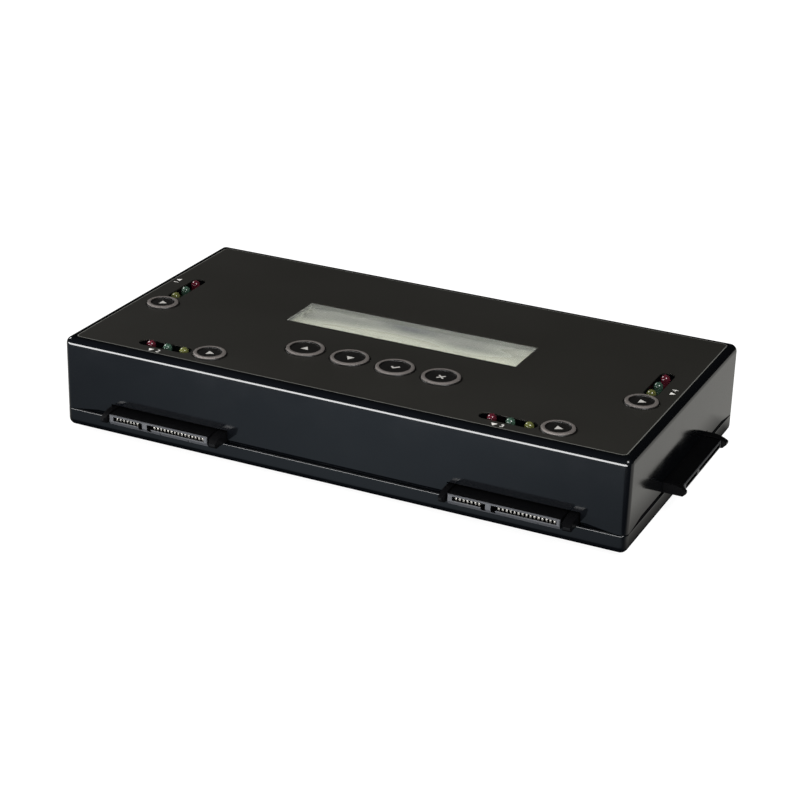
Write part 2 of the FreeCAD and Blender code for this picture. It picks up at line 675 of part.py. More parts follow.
def main_board():
    """Board in the tray that carries the drive ports and the rear connectors."""
    return case_board(BOARD_GAP, MAIN_BOTTOM, standoff_places())


def control_board():
    """Board under the top panel that carries the switches and the lamps."""
    return case_board(CONTROL_REAR_GAP, CONTROL_BOTTOM, control_post_places())


def controller_chips():
    """The processor and one bridge chip behind each port."""
    chips = [block_at(0, PROCESSOR_Y, PROCESSOR_SIZE, PROCESSOR_SIZE, MAIN_TOP, MAIN_TOP + PROCESSOR_HEIGHT)]
    for port in PORTS:
        x, y = port.point(0, BRIDGE_INBOARD)
        chips.append(block_at(x, y, BRIDGE_SIZE, BRIDGE_SIZE, MAIN_TOP, MAIN_TOP + BRIDGE_HEIGHT))
    return chips


def capacitors():
    """A row of can capacitors."""
    top = MAIN_TOP + CAPACITOR_HEIGHT
    places = [CAPACITOR_X + CAPACITOR_PITCH * step for step in range(CAPACITOR_COUNT)]
    return [post(x, CAPACITOR_Y, CAPACITOR_RADIUS, MAIN_TOP, top) for x in places]


def inductors():
    """Square power inductors on both sides of the processor."""
    top = MAIN_TOP + INDUCTOR_HEIGHT
    places = [side * x for side in (-1, 1) for x in INDUCTOR_X]
    blocks = [block_at(x, INDUCTOR_Y, INDUCTOR_SIZE, INDUCTOR_SIZE, MAIN_TOP, top) for x in places]
    return [rounded(block, INDUCTOR_EDGE) for block in blocks]


def link_pin_places():
    """The two rows of pins that join the boards."""
    first = LINK_X - HEADER_PITCH * (LINK_WAYS - 1) / 2
    rows = [LINK_Y + side * HEADER_PITCH / 2 for side in (-1, 1)]
    return [(first + HEADER_PITCH * step, y) for step in range(LINK_WAYS) for y in rows]


def link_socket():
    """Tall socket on the main board with a well for the pins."""
    length = HEADER_PITCH * LINK_WAYS
    walls = 2 * LINK_SOCKET_WALL
    top = CONTROL_BOTTOM - HEADER_HEIGHT - LINK_GAP
    body = block_at(LINK_X, LINK_Y, length + walls, LINK_WIDTH + walls, MAIN_TOP, top)
    return body.cut(block_at(LINK_X, LINK_Y, length, LINK_WIDTH, top - LINK_WELL, top + TINY))


def link_header():
    """Pin strip on the underside of the control board."""
    bottom = CONTROL_BOTTOM - HEADER_HEIGHT
    return block_at(LINK_X, LINK_Y, HEADER_PITCH * LINK_WAYS, LINK_WIDTH, bottom, CONTROL_BOTTOM)


def link_pins():
    """Square pins that hang from the strip into the socket."""
    top = CONTROL_BOTTOM - HEADER_HEIGHT
    return [block_at(x, y, LINK_PIN, LINK_PIN, top - LINK_PIN_REACH, top) for x, y in link_pin_places()]


# Display

def display_window():
    """Clear stepped lens: its flange lies under the overlay, its face is level with it."""
    ledge = RECESS_FLOOR - WINDOW_FLANGE_THICKNESS
    flange = window_block(WINDOW_FLANGE, ledge, RECESS_FLOOR)
    return flange.fuse(window_block(0, RECESS_FLOOR - TINY, OVERLAY_TOP)).removeSplitter()


def frame_block(inset, z0, z1):
    """A block with the display frame's outline, drawn in."""
    length = DISPLAY_FRAME_LENGTH - 2 * inset
    return block_at(WINDOW_X, WINDOW_Y, length, DISPLAY_FRAME_WIDTH - 2 * inset, z0, z1)


def display_frame():
    """Pressed sheet frame that holds the glass down on the display board."""
    outer = frame_block(0, DISPLAY_TOP, FRAME_TOP)
    outer = outer.makeFillet(DISPLAY_FRAME_EDGE, level_edges(outer, FRAME_TOP))
    inside = frame_block(DISPLAY_FRAME_SHEET, DISPLAY_TOP - TINY, GLASS_TOP)
    return outer.cut([inside, window_block(DISPLAY_OPENING_MARGIN, GLASS_TOP - TINY, FRAME_TOP + TINY)])


def display_glass():
    """The display cell, two bonded sheets of glass."""
    return frame_block(DISPLAY_FRAME_SHEET + DISPLAY_SEAT_GAP, GLASS_BOTTOM, GLASS_TOP)


def display_light_guide():
    """Light guide between the glass and the board."""
    return frame_block(DISPLAY_FRAME_SHEET + DISPLAY_SEAT_GAP, DISPLAY_TOP, GLASS_BOTTOM)


def display_board():
    """The display module's own board, screwed up under the cover."""
    board = block_at(WINDOW_X, WINDOW_Y, DISPLAY_BOARD_LENGTH, DISPLAY_BOARD_WIDTH,
                     DISPLAY_BOTTOM, DISPLAY_TOP)
    hole = BOARD_SCREW_RADIUS + SCREW_CLEARANCE
    holes = [post(x, y, hole, DISPLAY_BOTTOM - TINY, DISPLAY_TOP + TINY) for x, y in display_post_places()]
    return board.cut(holes)


def display_header():
    """Pin strip between the display board and the control board."""
    y = WINDOW_Y + DISPLAY_BOARD_WIDTH / 2 - DISPLAY_HEADER_FROM_EDGE
    length = HEADER_PITCH * DISPLAY_HEADER_WAYS
    return block_at(WINDOW_X, y, length, HEADER_WIDTH, CONTROL_TOP, DISPLAY_BOTTOM)


# Keys and switches

def key_cap(x, y, diameter):
    """Round cap with a raised rim, a hollow underside, a flange that keeps it in and a stem."""
    radius = diameter / 2
    face = OVERLAY_TOP + KEY_PROUD
    rim = face + KEY_RIM_RISE
    flange_top = PANEL_UNDERSIDE - KEY_FLANGE_GAP
    flange_bottom = flange_top - KEY_FLANGE_THICKNESS
    hollow = face - KEY_WALL
    inner = radius - KEY_WALL
    return turned([
        (0, face), (radius - KEY_RIM, face), (radius - KEY_RIM + KEY_RIM_ROUND, rim),
        (radius - KEY_RIM_ROUND, rim), (radius, rim - KEY_RIM_ROUND), (radius, flange_top),
        (radius + KEY_FLANGE, flange_top), (radius + KEY_FLANGE, flange_bottom), (inner, flange_bottom),
        (inner, hollow), (KEY_STEM_RADIUS, hollow), (KEY_STEM_RADIUS, PLUNGER_REST), (0, PLUNGER_REST),
    ], x, y)


def plunger(x, y):
    """The push switch's own moving stem, under a key."""
    return post(x, y, PLUNGER_RADIUS, CONTROL_TOP + SWITCH_HEIGHT - PLUNGER_SUNK, PLUNGER_REST)


def push_switches():
    """Square push-switch bodies, each with a well for its plunger."""
    switches = []
    top = CONTROL_TOP + SWITCH_HEIGHT
    well = top - PLUNGER_SUNK - KEY_TRAVEL - PLUNGER_SPARE
    for name, (x, y), size in all_keys():
        body = block_at(x, y, SWITCH_SIZE, SWITCH_SIZE, CONTROL_TOP, top)
        switches.append(body.cut(post(x, y, PLUNGER_RADIUS + PLUNGER_CLEARANCE, well, top + TINY)))
    return switches


# Lamps

def lamp(x, y):
    """Round-topped lamp with a flange at its foot."""
    step = LAMP_BASE + LAMP_FLANGE
    shoulder = LAMP_BASE + LAMP_HEIGHT - LAMP_RADIUS
    body = turned([(0, LAMP_BASE), (LAMP_FLANGE_RADIUS, LAMP_BASE), (LAMP_FLANGE_RADIUS, step),
                   (LAMP_RADIUS, step), (LAMP_RADIUS, shoulder), (0, shoulder)], x, y)
    dome = Part.makeSphere(LAMP_RADIUS, Vector(x, y, shoulder), Vector(0, 0, 1), 0, 90)
    return body.fuse(dome).removeSplitter()


def lamps(colour):
    """One colour's lamp of every port."""
    step = LAMP_COLOURS.index(colour)
    return [lamp(*port.point(*port.lamps[step])) for port in PORTS]


def lamp_holders():
    """Black spacers on the control board that carry three lamps each."""
    holders = []
    for port in PORTS:
        holder = lamp_slot(port, LAMP_HOLDER_GAP, CONTROL_TOP, LAMP_BASE)
        bores = [post(*port.point(*place), LAMP_BORE_RADIUS, CONTROL_TOP - TINY, LAMP_BASE + TINY)
                 for place in port.lamps]
        holders.append(holder.cut(bores))
    return holders


def lamp_leads():
    """Two leads from each lamp down to the control board."""
    leads = []
    for port in PORTS:
        for along, inset in port.lamps:
            for side in (-1, 1):
                x, y = port.point(along + side * LEAD_SPACING / 2, inset)
                leads.append(block_at(x, y, LEAD_THICKNESS, LEAD_THICKNESS, CONTROL_TOP, LAMP_BASE))
    return leads


# Drive ports, made at the wall's outer face, y = 0, and facing -y

def port_slots():
    """The two L-shaped slots and the thin passages through which the contacts leave them."""
    back = SLOT_DEPTH - NOSE_REACH
    front = -NOSE_REACH - TINY
    rear = PORT_BLOCK_BACK + TINY
    cuts = []
    for first, last, keyway in ((FIRST_CONTACT, SIGNAL_END, 1), (POWER_START, LAST_CONTACT, -1)):
        left = first - (SLOT_END if keyway > 0 else KEYWAY_REACH)
        right = last + (KEYWAY_REACH if keyway > 0 else SLOT_END)
        slot = box(left, right, front, back, SLOT_BOTTOM, SLOT_TOP)
        outer = right if keyway > 0 else left
        leg = sorted((outer, outer - keyway * KEYWAY_WIDTH))
        cuts.append(slot.fuse(box(*leg, front, back, KEYWAY_BOTTOM, SLOT_TOP)))
        cuts.append(box(first - PASSAGE_MARGIN, last + PASSAGE_MARGIN, back - TINY, rear,
                        SLOT_BOTTOM, SLOT_BOTTOM + PASSAGE_HEIGHT))
    return cuts


def guide_arm(x0, x1, inner_side):
    """A guide arm: its top falls in a curve to the tip, and its inner corner is cut back as a lead-in."""
    back = PORT_BLOCK_FRONT + TINY
    start = Vector(x0, -ARM_CURVE_START, PORT_TOP)
    tip = Vector(x0, -ARM_REACH, ARM_TIP_TOP)
    middle = Vector(x0, (start.y + tip.y) / 2, PORT_TOP - (PORT_TOP - ARM_TIP_TOP) / 4)
    chin = Vector(x0, -ARM_REACH, ARM_TIP_BOTTOM)
    throat = Vector(x0, ARM_TIP_BOTTOM - ARM_BOTTOM - ARM_REACH, ARM_BOTTOM)
    root = [Vector(x0, back, ARM_BOTTOM), Vector(x0, back, PORT_TOP)]
    curve = Part.Arc(start, middle, tip).toShape()
    straight = Part.makePolygon([tip, chin, throat] + root + [start])
    arm = Part.Face(Part.Wire([curve] + straight.Edges)).extrude(Vector(x1 - x0, 0, 0))
    inner = x1 if inner_side > 0 else x0
    corner = Vector(inner, -ARM_REACH, 0)
    across = corner + Vector(-inner_side * ARM_LEAD_IN, 0, 0)
    wedge = [corner, across, corner + Vector(0, 2 * ARM_LEAD_IN, 0), corner]
    return arm.cut(Part.Face(Part.makePolygon(wedge)).extrude(Vector(0, 0, CASE_HEIGHT)))


def port_housing():
    """Black receptacle body: nose with two L-shaped slots, an arm at each end, a block on the board."""
    root = PORT_BLOCK_FRONT + TINY
    nose = box(FIRST_CONTACT - NOSE_LEFT, LAST_CONTACT + NOSE_RIGHT, -NOSE_REACH, root, NOSE_BOTTOM, NOSE_TOP)
    mouth = [e for e in nose.Edges if e.BoundBox.YMax < TINY - NOSE_REACH]
    nose = nose.makeChamfer(NOSE_EDGE, [e for e in mouth if e.BoundBox.ZMax > NOSE_BOTTOM + TINY])
    lead_in = NOSE_BEVEL_DEPTH - NOSE_REACH
    bevel = [(-NOSE_REACH - TINY, NOSE_BOTTOM - TINY), (-NOSE_REACH - TINY, NOSE_BOTTOM + NOSE_BEVEL_HEIGHT),
             (lead_in, NOSE_BOTTOM - TINY)]
    marks = [rod(x, NOSE_MARK_HEIGHT, NOSE_MARK_RADIUS, -NOSE_REACH - TINY, lead_in) for x in NOSE_MARKS]
    nose = nose.cut([side_prism(bevel, -CASE_LENGTH, CASE_LENGTH)] + marks)
    left = FIRST_CONTACT - ARM_LEFT[0]
    right = LAST_CONTACT + ARM_RIGHT[1]
    block = box(left, right, PORT_BLOCK_FRONT, PORT_BLOCK_BACK, MAIN_TOP, PORT_TOP)
    arms = [guide_arm(left, FIRST_CONTACT - ARM_LEFT[1], 1),
            guide_arm(LAST_CONTACT + ARM_RIGHT[0], right, -1)]
    return block.fuse([nose] + arms).cut(port_slots()).removeSplitter()


def contact_places():
    """Centres of the signal contacts, then of the power contacts."""
    signal = [FIRST_CONTACT + CONTACT_PITCH * step for step in range(SIGNAL_CONTACTS)]
    return signal + [POWER_START + CONTACT_PITCH * step for step in range(POWER_CONTACTS)]


def port_contacts():
    """Sprung contacts: a hooked tip in the slot, a strip through the block and a foot on the board."""
    tip = CONTACT_TIP - NOSE_REACH
    crown = tip + CONTACT_CROWN
    inner = tip + CONTACT_THICKNESS
    bend = SLOT_DEPTH - NOSE_REACH - CONTACT_TIP
    down = PORT_BLOCK_BACK + CONTACT_TAIL_GAP
    upper = SLOT_BOTTOM + CONTACT_THICKNESS
    high = upper + CONTACT_RISE
    foot = MAIN_TOP + CONTACT_THICKNESS
    outline = [
        (tip, SLOT_BOTTOM), (tip, high - CONTACT_EDGE), (tip + CONTACT_EDGE, high), (crown, high),
        (bend, upper), (down + CONTACT_THICKNESS, upper), (down + CONTACT_THICKNESS, foot),
        (down + CONTACT_TAIL, foot),
        (down + CONTACT_TAIL, MAIN_TOP), (down, MAIN_TOP), (down, SLOT_BOTTOM), (bend, SLOT_BOTTOM),
        (crown, high - CONTACT_THICKNESS), (inner, high - CONTACT_THICKNESS), (inner, SLOT_BOTTOM),
    ]
    half = CONTACT_WIDTH / 2
    return [side_prism(outline, x - half, x + half) for x in contact_places()]


# Rear panel

def dc_jack():
    """Power inlet on the main board: a block with a round collar in the rear wall."""
    wall = HALF_WIDTH - WALL - JACK_WALL_GAP
    mouth = HALF_WIDTH + JACK_COLLAR_PROUD
    body = block_at(JACK_X, wall - JACK_DEPTH / 2, JACK_WIDTH, JACK_DEPTH, MAIN_TOP, JACK_TOP)
    collar = rod(JACK_X, JACK_CENTRE, JACK_COLLAR_RADIUS, wall - TINY, mouth)
    bore = rod(JACK_X, JACK_CENTRE, JACK_BORE_RADIUS, mouth - JACK_BORE_DEPTH, mouth + TINY)
    return body.fuse(collar).cut(bore)


def dc_jack_pin():
    """Centre pin of the power inlet."""
    mouth = HALF_WIDTH + JACK_COLLAR_PROUD
    return rod(JACK_X, JACK_CENTRE, JACK_PIN_RADIUS, mouth - JACK_BORE_DEPTH, mouth - JACK_PIN_SHY)


def rear_block(half_length, half_height, y0, y1):
    """A block centred on the power switch, across the rear panel."""
    return box(SWITCH_X - half_length, SWITCH_X + half_length, y0, y1,
               REAR_CENTRE - half_height, REAR_CENTRE + half_height)


def power_switch_body():
    """Snap-in switch housing: a bezel outside, a hollow body inside, two bearing holes for the rocker."""
    front = HALF_WIDTH + BEZEL_THICKNESS
    back = HALF_WIDTH - POWER_SWITCH_DEPTH
    bezel = rear_block(SWITCH_HALF_LENGTH + BEZEL_RIM, SWITCH_HALF_HEIGHT + BEZEL_RIM, HALF_WIDTH, front)
    long_edges = [e for e in bezel.Edges if e.BoundBox.XLength < TINY and e.BoundBox.ZLength < TINY]
    bezel = bezel.makeFillet(BEZEL_RADIUS, long_edges)
    body = bezel.fuse(rear_block(SWITCH_HALF_LENGTH, SWITCH_HALF_HEIGHT, back, HALF_WIDTH + TINY))
    half_length = SWITCH_HALF_LENGTH - POWER_SWITCH_CHEEK
    half_height = SWITCH_HALF_HEIGHT - POWER_SWITCH_CHEEK
    well = rear_block(half_length, half_height, ROCKER_PIVOT_Y - ROCKER_RADIUS, front + TINY)
    bearing = post(SWITCH_X, ROCKER_PIVOT_Y, TRUNNION_RADIUS + TRUNNION_CLEARANCE,
                   REAR_CENTRE - SWITCH_HALF_HEIGHT + TINY, REAR_CENTRE + SWITCH_HALF_HEIGHT - TINY)
    return body.cut([well, bearing]).removeSplitter()


def power_rocker():
    """Rocker with a shallow V face, round ends and two trunnions, set with one end pressed in."""
    z0 = REAR_CENTRE - ROCKER_HEIGHT / 2
    low = -ROCKER_HUB

    def at(u, v):
        return Vector(SWITCH_X + u, ROCKER_PIVOT_Y + v, z0)

    def on_rim(angle):
        turn = math.radians(angle)
        return at(ROCKER_RADIUS * math.cos(turn), ROCKER_RADIUS * math.sin(turn))

    tip_angle = math.degrees(math.atan2(ROCKER_TIP, ROCKER_HALF))
    right_arc = Part.Arc(on_rim(tip_angle), on_rim(tip_angle / 2), on_rim(0)).toShape()
    left_arc = Part.Arc(on_rim(180), on_rim(180 - tip_angle / 2), on_rim(180 - tip_angle)).toShape()
    under = Part.makePolygon([on_rim(0), at(ROCKER_HUB, low), at(-ROCKER_HUB, low), on_rim(180)])
    face = Part.makePolygon([on_rim(180 - tip_angle), at(0, ROCKER_CENTRE), on_rim(tip_angle)])
    outline = Part.Wire([right_arc] + under.Edges + [left_arc] + face.Edges)
    rocker = Part.Face(outline).extrude(Vector(0, 0, ROCKER_HEIGHT))
    reach = ROCKER_HEIGHT / 2 + TRUNNION_LENGTH
    trunnions = post(SWITCH_X, ROCKER_PIVOT_Y, TRUNNION_RADIUS, REAR_CENTRE - reach, REAR_CENTRE + reach)
    rocker = rocker.fuse(trunnions)
    rocker.rotate(Vector(SWITCH_X, ROCKER_PIVOT_Y, 0), Vector(0, 0, 1), -ROCKER_TILT)
    return rocker


def power_switch_terminals():
    """Two bent blades from the switch down to the main board."""
    back = HALF_WIDTH - POWER_SWITCH_DEPTH
    end = back - TERMINAL_REACH
    top = REAR_CENTRE + TERMINAL_THICKNESS
    leg = end + TERMINAL_THICKNESS
    outline = [(back, REAR_CENTRE), (back, top), (end, top), (end, MAIN_TOP),
               (leg, MAIN_TOP), (leg, REAR_CENTRE)]
    half = TERMINAL_WIDTH / 2
    centres = [SWITCH_X + side * TERMINAL_SPACING / 2 for side in (-1, 1)]
    return [side_prism(outline, x - half, x + half) for x in centres]


def d_prism(margin, y0, y1):
    """A prism with the serial shell's D outline, grown by a margin."""
    half_top = SERIAL_SHELL_WIDTH / 2 + margin
    half_height = SERIAL_SHELL_HEIGHT / 2 + margin
    half_bottom = half_top - 2 * half_height * math.tan(math.radians(SERIAL_SHELL_SLANT))
    outline = [(-half_top, half_height), (half_top, half_height),
               (half_bottom, -half_height), (-half_bottom, -half_height)]
    points = [Vector(SERIAL_X + x, y0, REAR_CENTRE + z) for x, z in outline]
    prism = Part.Face(Part.makePolygon(points + points[:1])).extrude(Vector(0, y1 - y0, 0))
    long_edges = [e for e in prism.Edges if e.BoundBox.XLength < TINY and e.BoundBox.ZLength < TINY]
    return prism.makeFillet(SERIAL_SHELL_RADIUS + margin, long_edges)


def serial_shell():
    """Pressed D-shaped shell with its flange behind the rear wall."""
    half_length = SERIAL_FLANGE_LENGTH / 2
    half_width = SERIAL_FLANGE_WIDTH / 2
    flange = box(SERIAL_X - half_length, SERIAL_X + half_length, SERIAL_PLANE - SERIAL_FLANGE, SERIAL_PLANE,
                 REAR_CENTRE - half_width, REAR_CENTRE + half_width)
    mouth = SERIAL_PLANE + SERIAL_SHELL_REACH
    shell = flange.fuse(d_prism(0, SERIAL_PLANE - TINY, mouth))
    inside = d_prism(-SERIAL_SHELL_WALL, SERIAL_PLANE - SERIAL_FLANGE - TINY, mouth + TINY)
    studs = [rod(SERIAL_X + side * LOCK_NUT_SPACING / 2, REAR_CENTRE, LOCK_STUD_RADIUS + LOCK_STUD_CLEARANCE,
                 SERIAL_PLANE - SERIAL_FLANGE - TINY, SERIAL_PLANE + TINY) for side in (-1, 1)]
    return shell.cut([inside] + studs)


def serial_insulator():
    """Moulded block behind the shell that holds the pins and stands on the main board."""
    back_face = SERIAL_PLANE - SERIAL_FLANGE
    inset = SERIAL_SHELL_WALL + SERIAL_INSULATOR_GAP
    plug = d_prism(-inset, back_face - TINY, SERIAL_PLANE + SERIAL_INSULATOR_FACE)
    block = box(SERIAL_X - SERIAL_BLOCK_HALF, SERIAL_X + SERIAL_BLOCK_HALF, back_face - SERIAL_BLOCK_DEPTH,
                back_face, MAIN_TOP, REAR_CENTRE + SERIAL_BLOCK_TOP)
    return plug.fuse(block).removeSplitter()


def serial_pins():
    """Five pins over four."""
    face = SERIAL_PLANE + SERIAL_INSULATOR_FACE
    pins = []
    for count, row in ((5, SERIAL_ROW), (4, -SERIAL_ROW)):
        first = SERIAL_X - SERIAL_PIN_PITCH * (count - 1) / 2
        places = [first + SERIAL_PIN_PITCH * step for step in range(count)]
        tip = face + SERIAL_PIN_LENGTH
        pins += [rod(x, REAR_CENTRE + row, SERIAL_PIN_RADIUS, face, tip) for x in places]
    return pins


def serial_lock_nuts():
    """Hexagon nuts outside the rear wall whose studs hold the shell's flange."""
    nuts = []
    reach = HALF_WIDTH + LOCK_NUT_REACH
    corner = LOCK_NUT_FLATS / math.sqrt(3)
    for side in (-1, 1):
        x = SERIAL_X + side * LOCK_NUT_SPACING / 2
        angles = [math.radians(60 * step) for step in range(6)]
        points = [Vector(x + corner * math.sin(angle), HALF_WIDTH, REAR_CENTRE + corner * math.cos(angle))
                  for angle in angles]
        hexagon = Part.Face(Part.makePolygon(points + points[:1])).extrude(Vector(0, LOCK_NUT_REACH, 0))
        stud_end = SERIAL_PLANE - SERIAL_FLANGE - LOCK_STUD_PAST
        stud = rod(x, REAR_CENTRE, LOCK_STUD_RADIUS, stud_end, HALF_WIDTH + TINY)
        bore = rod(x, REAR_CENTRE, LOCK_NUT_BORE_RADIUS, reach - LOCK_NUT_BORE, reach + TINY)
        nuts.append(hexagon.fuse(stud).cut(bore))
    return nuts


def save(name, pieces):
    """Writes one node, a solid or a group of solids, in the finished frame."""
    shape = Part.makeCompound(pieces) if isinstance(pieces, list) else pieces
    shape.translated(FRAME_SHIFT).exportStep(f"parts/{name}.step")


def build():
    """Makes every piece and writes it."""
    os.makedirs("parts", exist_ok=True)
    for make in (bottom_tray, top_cover, control_overlay, case_screws, rubber_feet, board_screws,
                 main_board, control_board, controller_chips, capacitors, inductors,
                 link_socket, link_header, link_pins, display_window, display_frame, display_glass,
                 display_light_guide, display_board, display_header, push_switches, lamp_holders, lamp_leads,
                 dc_jack, dc_jack_pin, power_switch_body, power_rocker, power_switch_terminals,
                 serial_shell, serial_insulator, serial_pins, serial_lock_nuts):
        save(make.__name__, make())
    for name, (x, y), diameter in all_keys():
        save(name, key_cap(x, y, diameter))
        save(name + "_plunger", plunger(x, y))
    for colour in LAMP_COLOURS:
        save("lamps_" + colour, lamps(colour))
    for port in PORTS:
        save(f"drive_port_{port.number}", port.place(port_housing()))
        save(f"drive_contacts_{port.number}", [port.place(contact) for contact in port_contacts()])


build()
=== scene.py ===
"""Finishes and fine pieces of a four-port drive eraser, laid over its fixed frame.

All lengths are in metres. Every piece is made where it belongs, so its object stays at the origin.
"""

import math

import bmesh
import bpy
from bpy.props import FloatProperty, FloatVectorProperty, IntProperty, PointerProperty
from mathutils import Matrix, Vector


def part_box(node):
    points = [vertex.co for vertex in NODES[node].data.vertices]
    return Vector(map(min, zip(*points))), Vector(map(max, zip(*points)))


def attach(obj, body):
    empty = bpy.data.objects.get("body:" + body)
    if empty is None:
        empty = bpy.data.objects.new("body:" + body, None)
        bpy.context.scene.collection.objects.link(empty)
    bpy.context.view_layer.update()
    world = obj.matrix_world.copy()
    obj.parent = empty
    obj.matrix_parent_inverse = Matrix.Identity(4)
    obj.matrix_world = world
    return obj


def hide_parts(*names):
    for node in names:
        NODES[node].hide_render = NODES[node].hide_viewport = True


bl_info = {
    "name": "Drive Eraser Finish",
    "version": (1, 0, 0),
    "blender": (4, 5, 0),
    "location": "View3D > Sidebar > Eraser",
    "description": "Finishes and fine pieces of a four-port drive eraser",
    "category": "Object",
}

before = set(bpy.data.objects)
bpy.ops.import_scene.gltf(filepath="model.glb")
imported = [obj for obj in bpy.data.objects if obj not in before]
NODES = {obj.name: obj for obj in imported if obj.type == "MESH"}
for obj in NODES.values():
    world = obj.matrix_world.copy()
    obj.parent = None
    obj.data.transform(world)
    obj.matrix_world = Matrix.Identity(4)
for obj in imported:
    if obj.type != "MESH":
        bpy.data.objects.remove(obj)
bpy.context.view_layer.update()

MM = 0.001
COVER_LOW, COVER_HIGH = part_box("top_cover")
FILM_LOW, FILM_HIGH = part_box("control_overlay")
MENU_KEYS = ["key_up", "key_down", "key_select", "key_back"]
PORTS = [1, 2, 3, 4]
GO_KEYS = [f"go_key_{number}" for number in PORTS]
PORT_TURN = {1: -90.0, 2: 0.0, 3: 0.0, 4: 90.0}
LAMP_COLOURS = ["red", "green", "yellow"]
BLACK = (0.0, 0.0, 0.0, 1.0)

# Corners of the frame's triangles this close are one corner, faces this nearly level are one face, edges past
# the next two angles are shaded sharp or rounded, and a point this near to a plane lies on it.
WELD = 0.002 * MM
FLAT_ANGLE = math.radians(0.2)
SHARP_ANGLE = math.radians(28)
ROUND_ANGLE = math.radians(35)
NEAR = 0.01 * MM
# How far below the lens the display opening's walls reach, and how wide the film's outline is searched.
OPENING_DEPTH = 3.0 * MM
FILM_BORDER = 2.2 * MM
# Each port's printed arrow: millimetres along the wall from the port's middle, and in from the wall.
MARK_PLACES = {1: (-10.8, 5.1), 2: (-8.85, 4.8), 3: (-8.85, 4.8), 4: (-0.5, 5.9)}
# Facets round a key, bands over its ring, how many of them are painted, and how full the ring's section is.
KEY_SIDES = 72
RING_STEPS = 12
PAINTED_STEPS = 9
RING_FULLNESS = 0.7

# The floor's radius, its white in scattered light, and where its tone changes in reflections, in metres.
FLOOR_RADIUS = 8.0
FLOOR_WHITE = (0.9, 0.9, 0.9, 1.0)
FLOOR_END_LEVEL = 0.55
FLOOR_RAMPS = {
    "outer": ("aside", 0.0985, 0.109),
    "ends": ("aside", 0.02, 0.115),
    "rear": ("Y", -0.06, -0.046),
    "close": ("Y", -0.0545, -0.058),
    "behind": ("Y", 0.053, 0.066),
    "right": ("X", 0.099, 0.106),
}
# Each light's place, the point it faces and its size, in metres.
LIGHTS = {
    "strip_light": ((-0.15, -0.25, 0.039), (-0.15, 0.061, 0.989), (0.66, 0.23)),
    "left_light": ((-0.95, 0.1, 0.7), (0, -0.02, 0.02), (0.4, 0.4)),
    "right_light": ((0.55, -0.45, 0.75), (0, -0.02, 0.02), (0.36, 0.36)),
}


def linear(code):
    """Linear colour of an sRGB hex code."""
    parts = [int(code[i : i + 2], 16) / 255 for i in (1, 3, 5)]
    return [c / 12.92 if c <= 0.04045 else ((c + 0.055) / 1.055) ** 2.4 for c in parts] + [1.0]


def colour(name, code):
    """A colour setting from a hex code."""
    note = f"{name} as linear light"
    return FloatVectorProperty(
        name=name, description=note, subtype="COLOR", size=4, min=0, max=1, default=linear(code)
    )


def length(name, note, value):
    """A length setting in millimetres."""
    return FloatProperty(name=name, description=note, unit="LENGTH", min=0, precision=5, default=value * MM)


def angle(name, note, degrees):
    """An angle setting in degrees."""
    return FloatProperty(name=name, description=note, unit="ROTATION", default=math.radians(degrees))


def amount(name, note, value):
    """A plain number that isn't negative."""
    return FloatProperty(name=name, description=note, min=0, default=value)


def node(tree, kind, inputs=None, **settings):
    """Adds one node with its settings, and gives its inputs a value or a link.

    A node that is given as an input stands for its first output.
    """
    made = tree.nodes.new(kind)
    for key, value in settings.items():
        setattr(made, key, value)
    for key, value in (inputs or {}).items():
        if isinstance(value, bpy.types.Node):
            value = value.outputs[0]
        if isinstance(value, bpy.types.NodeSocket):
            tree.links.new(value, made.inputs[key])
        else:
            made.inputs[key].default_value = value
    return made


def per_mm(size):
    """Texture scale that gives features of this size in millimetres."""
    return 1 / (size * MM)


def shade(tint, factor):
    """The same colour, lighter or darker by a factor."""
    return [min(1.0, c * factor) for c in tint[:3]] + [1.0]


def empty_material(name):
    material = bpy.data.materials.new(name)
    material.use_nodes = True
    material.node_tree.nodes.clear()
    return material, material.node_tree


def gloss_abs(tint):
    # ABS moulded in a polished tool: deep black, whose mirrored edges waver a little with the moulding.
    material, tree = empty_material("Gloss moulded ABS")
    where = node(tree, "ShaderNodeTexCoord").outputs["Object"]
    drift = node(tree, "ShaderNodeTexNoise", {"Vector": where, "Scale": per_mm(38), "Detail": 3.0})
    tints = {"Factor": drift, 6: shade(tint, 0.8), 7: shade(tint, 1.2)}
    tone = node(tree, "ShaderNodeMix", tints, data_type="RGBA").outputs[2]
    # Handling leaves faint dull patches a centimetre or two across.
    touch = node(tree, "ShaderNodeTexNoise", {"Vector": where, "Scale": per_mm(14), "Detail": 4.0})
    limits = {"Value": touch, "From Min": 0.35, "From Max": 0.7, "To Min": 0.09, "To Max": 0.14}
    sheen = node(tree, "ShaderNodeMapRange", limits)
    # Flow waves are 7 mm long; the tool's polish marks are drawn at 0.45 mm, coarser than real, to show.
    waves = node(tree, "ShaderNodeTexNoise", {"Vector": where, "Scale": per_mm(7), "Detail": 1.0})
    swell = node(tree, "ShaderNodeBump", {"Height": waves, "Distance": 0.002 * MM})
    polish = node(tree, "ShaderNodeTexNoise", {"Vector": where, "Scale": per_mm(0.45), "Detail": 2.0})
    skin = node(tree, "ShaderNodeBump", {"Height": polish, "Distance": 0.0015 * MM, "Normal": swell})
    surface = {"Base Color": tone, "Roughness": sheen, "Normal": skin}
    shader = node(tree, "ShaderNodeBsdfPrincipled", surface)
    node(tree, "ShaderNodeOutputMaterial", {"Surface": shader})
    return material


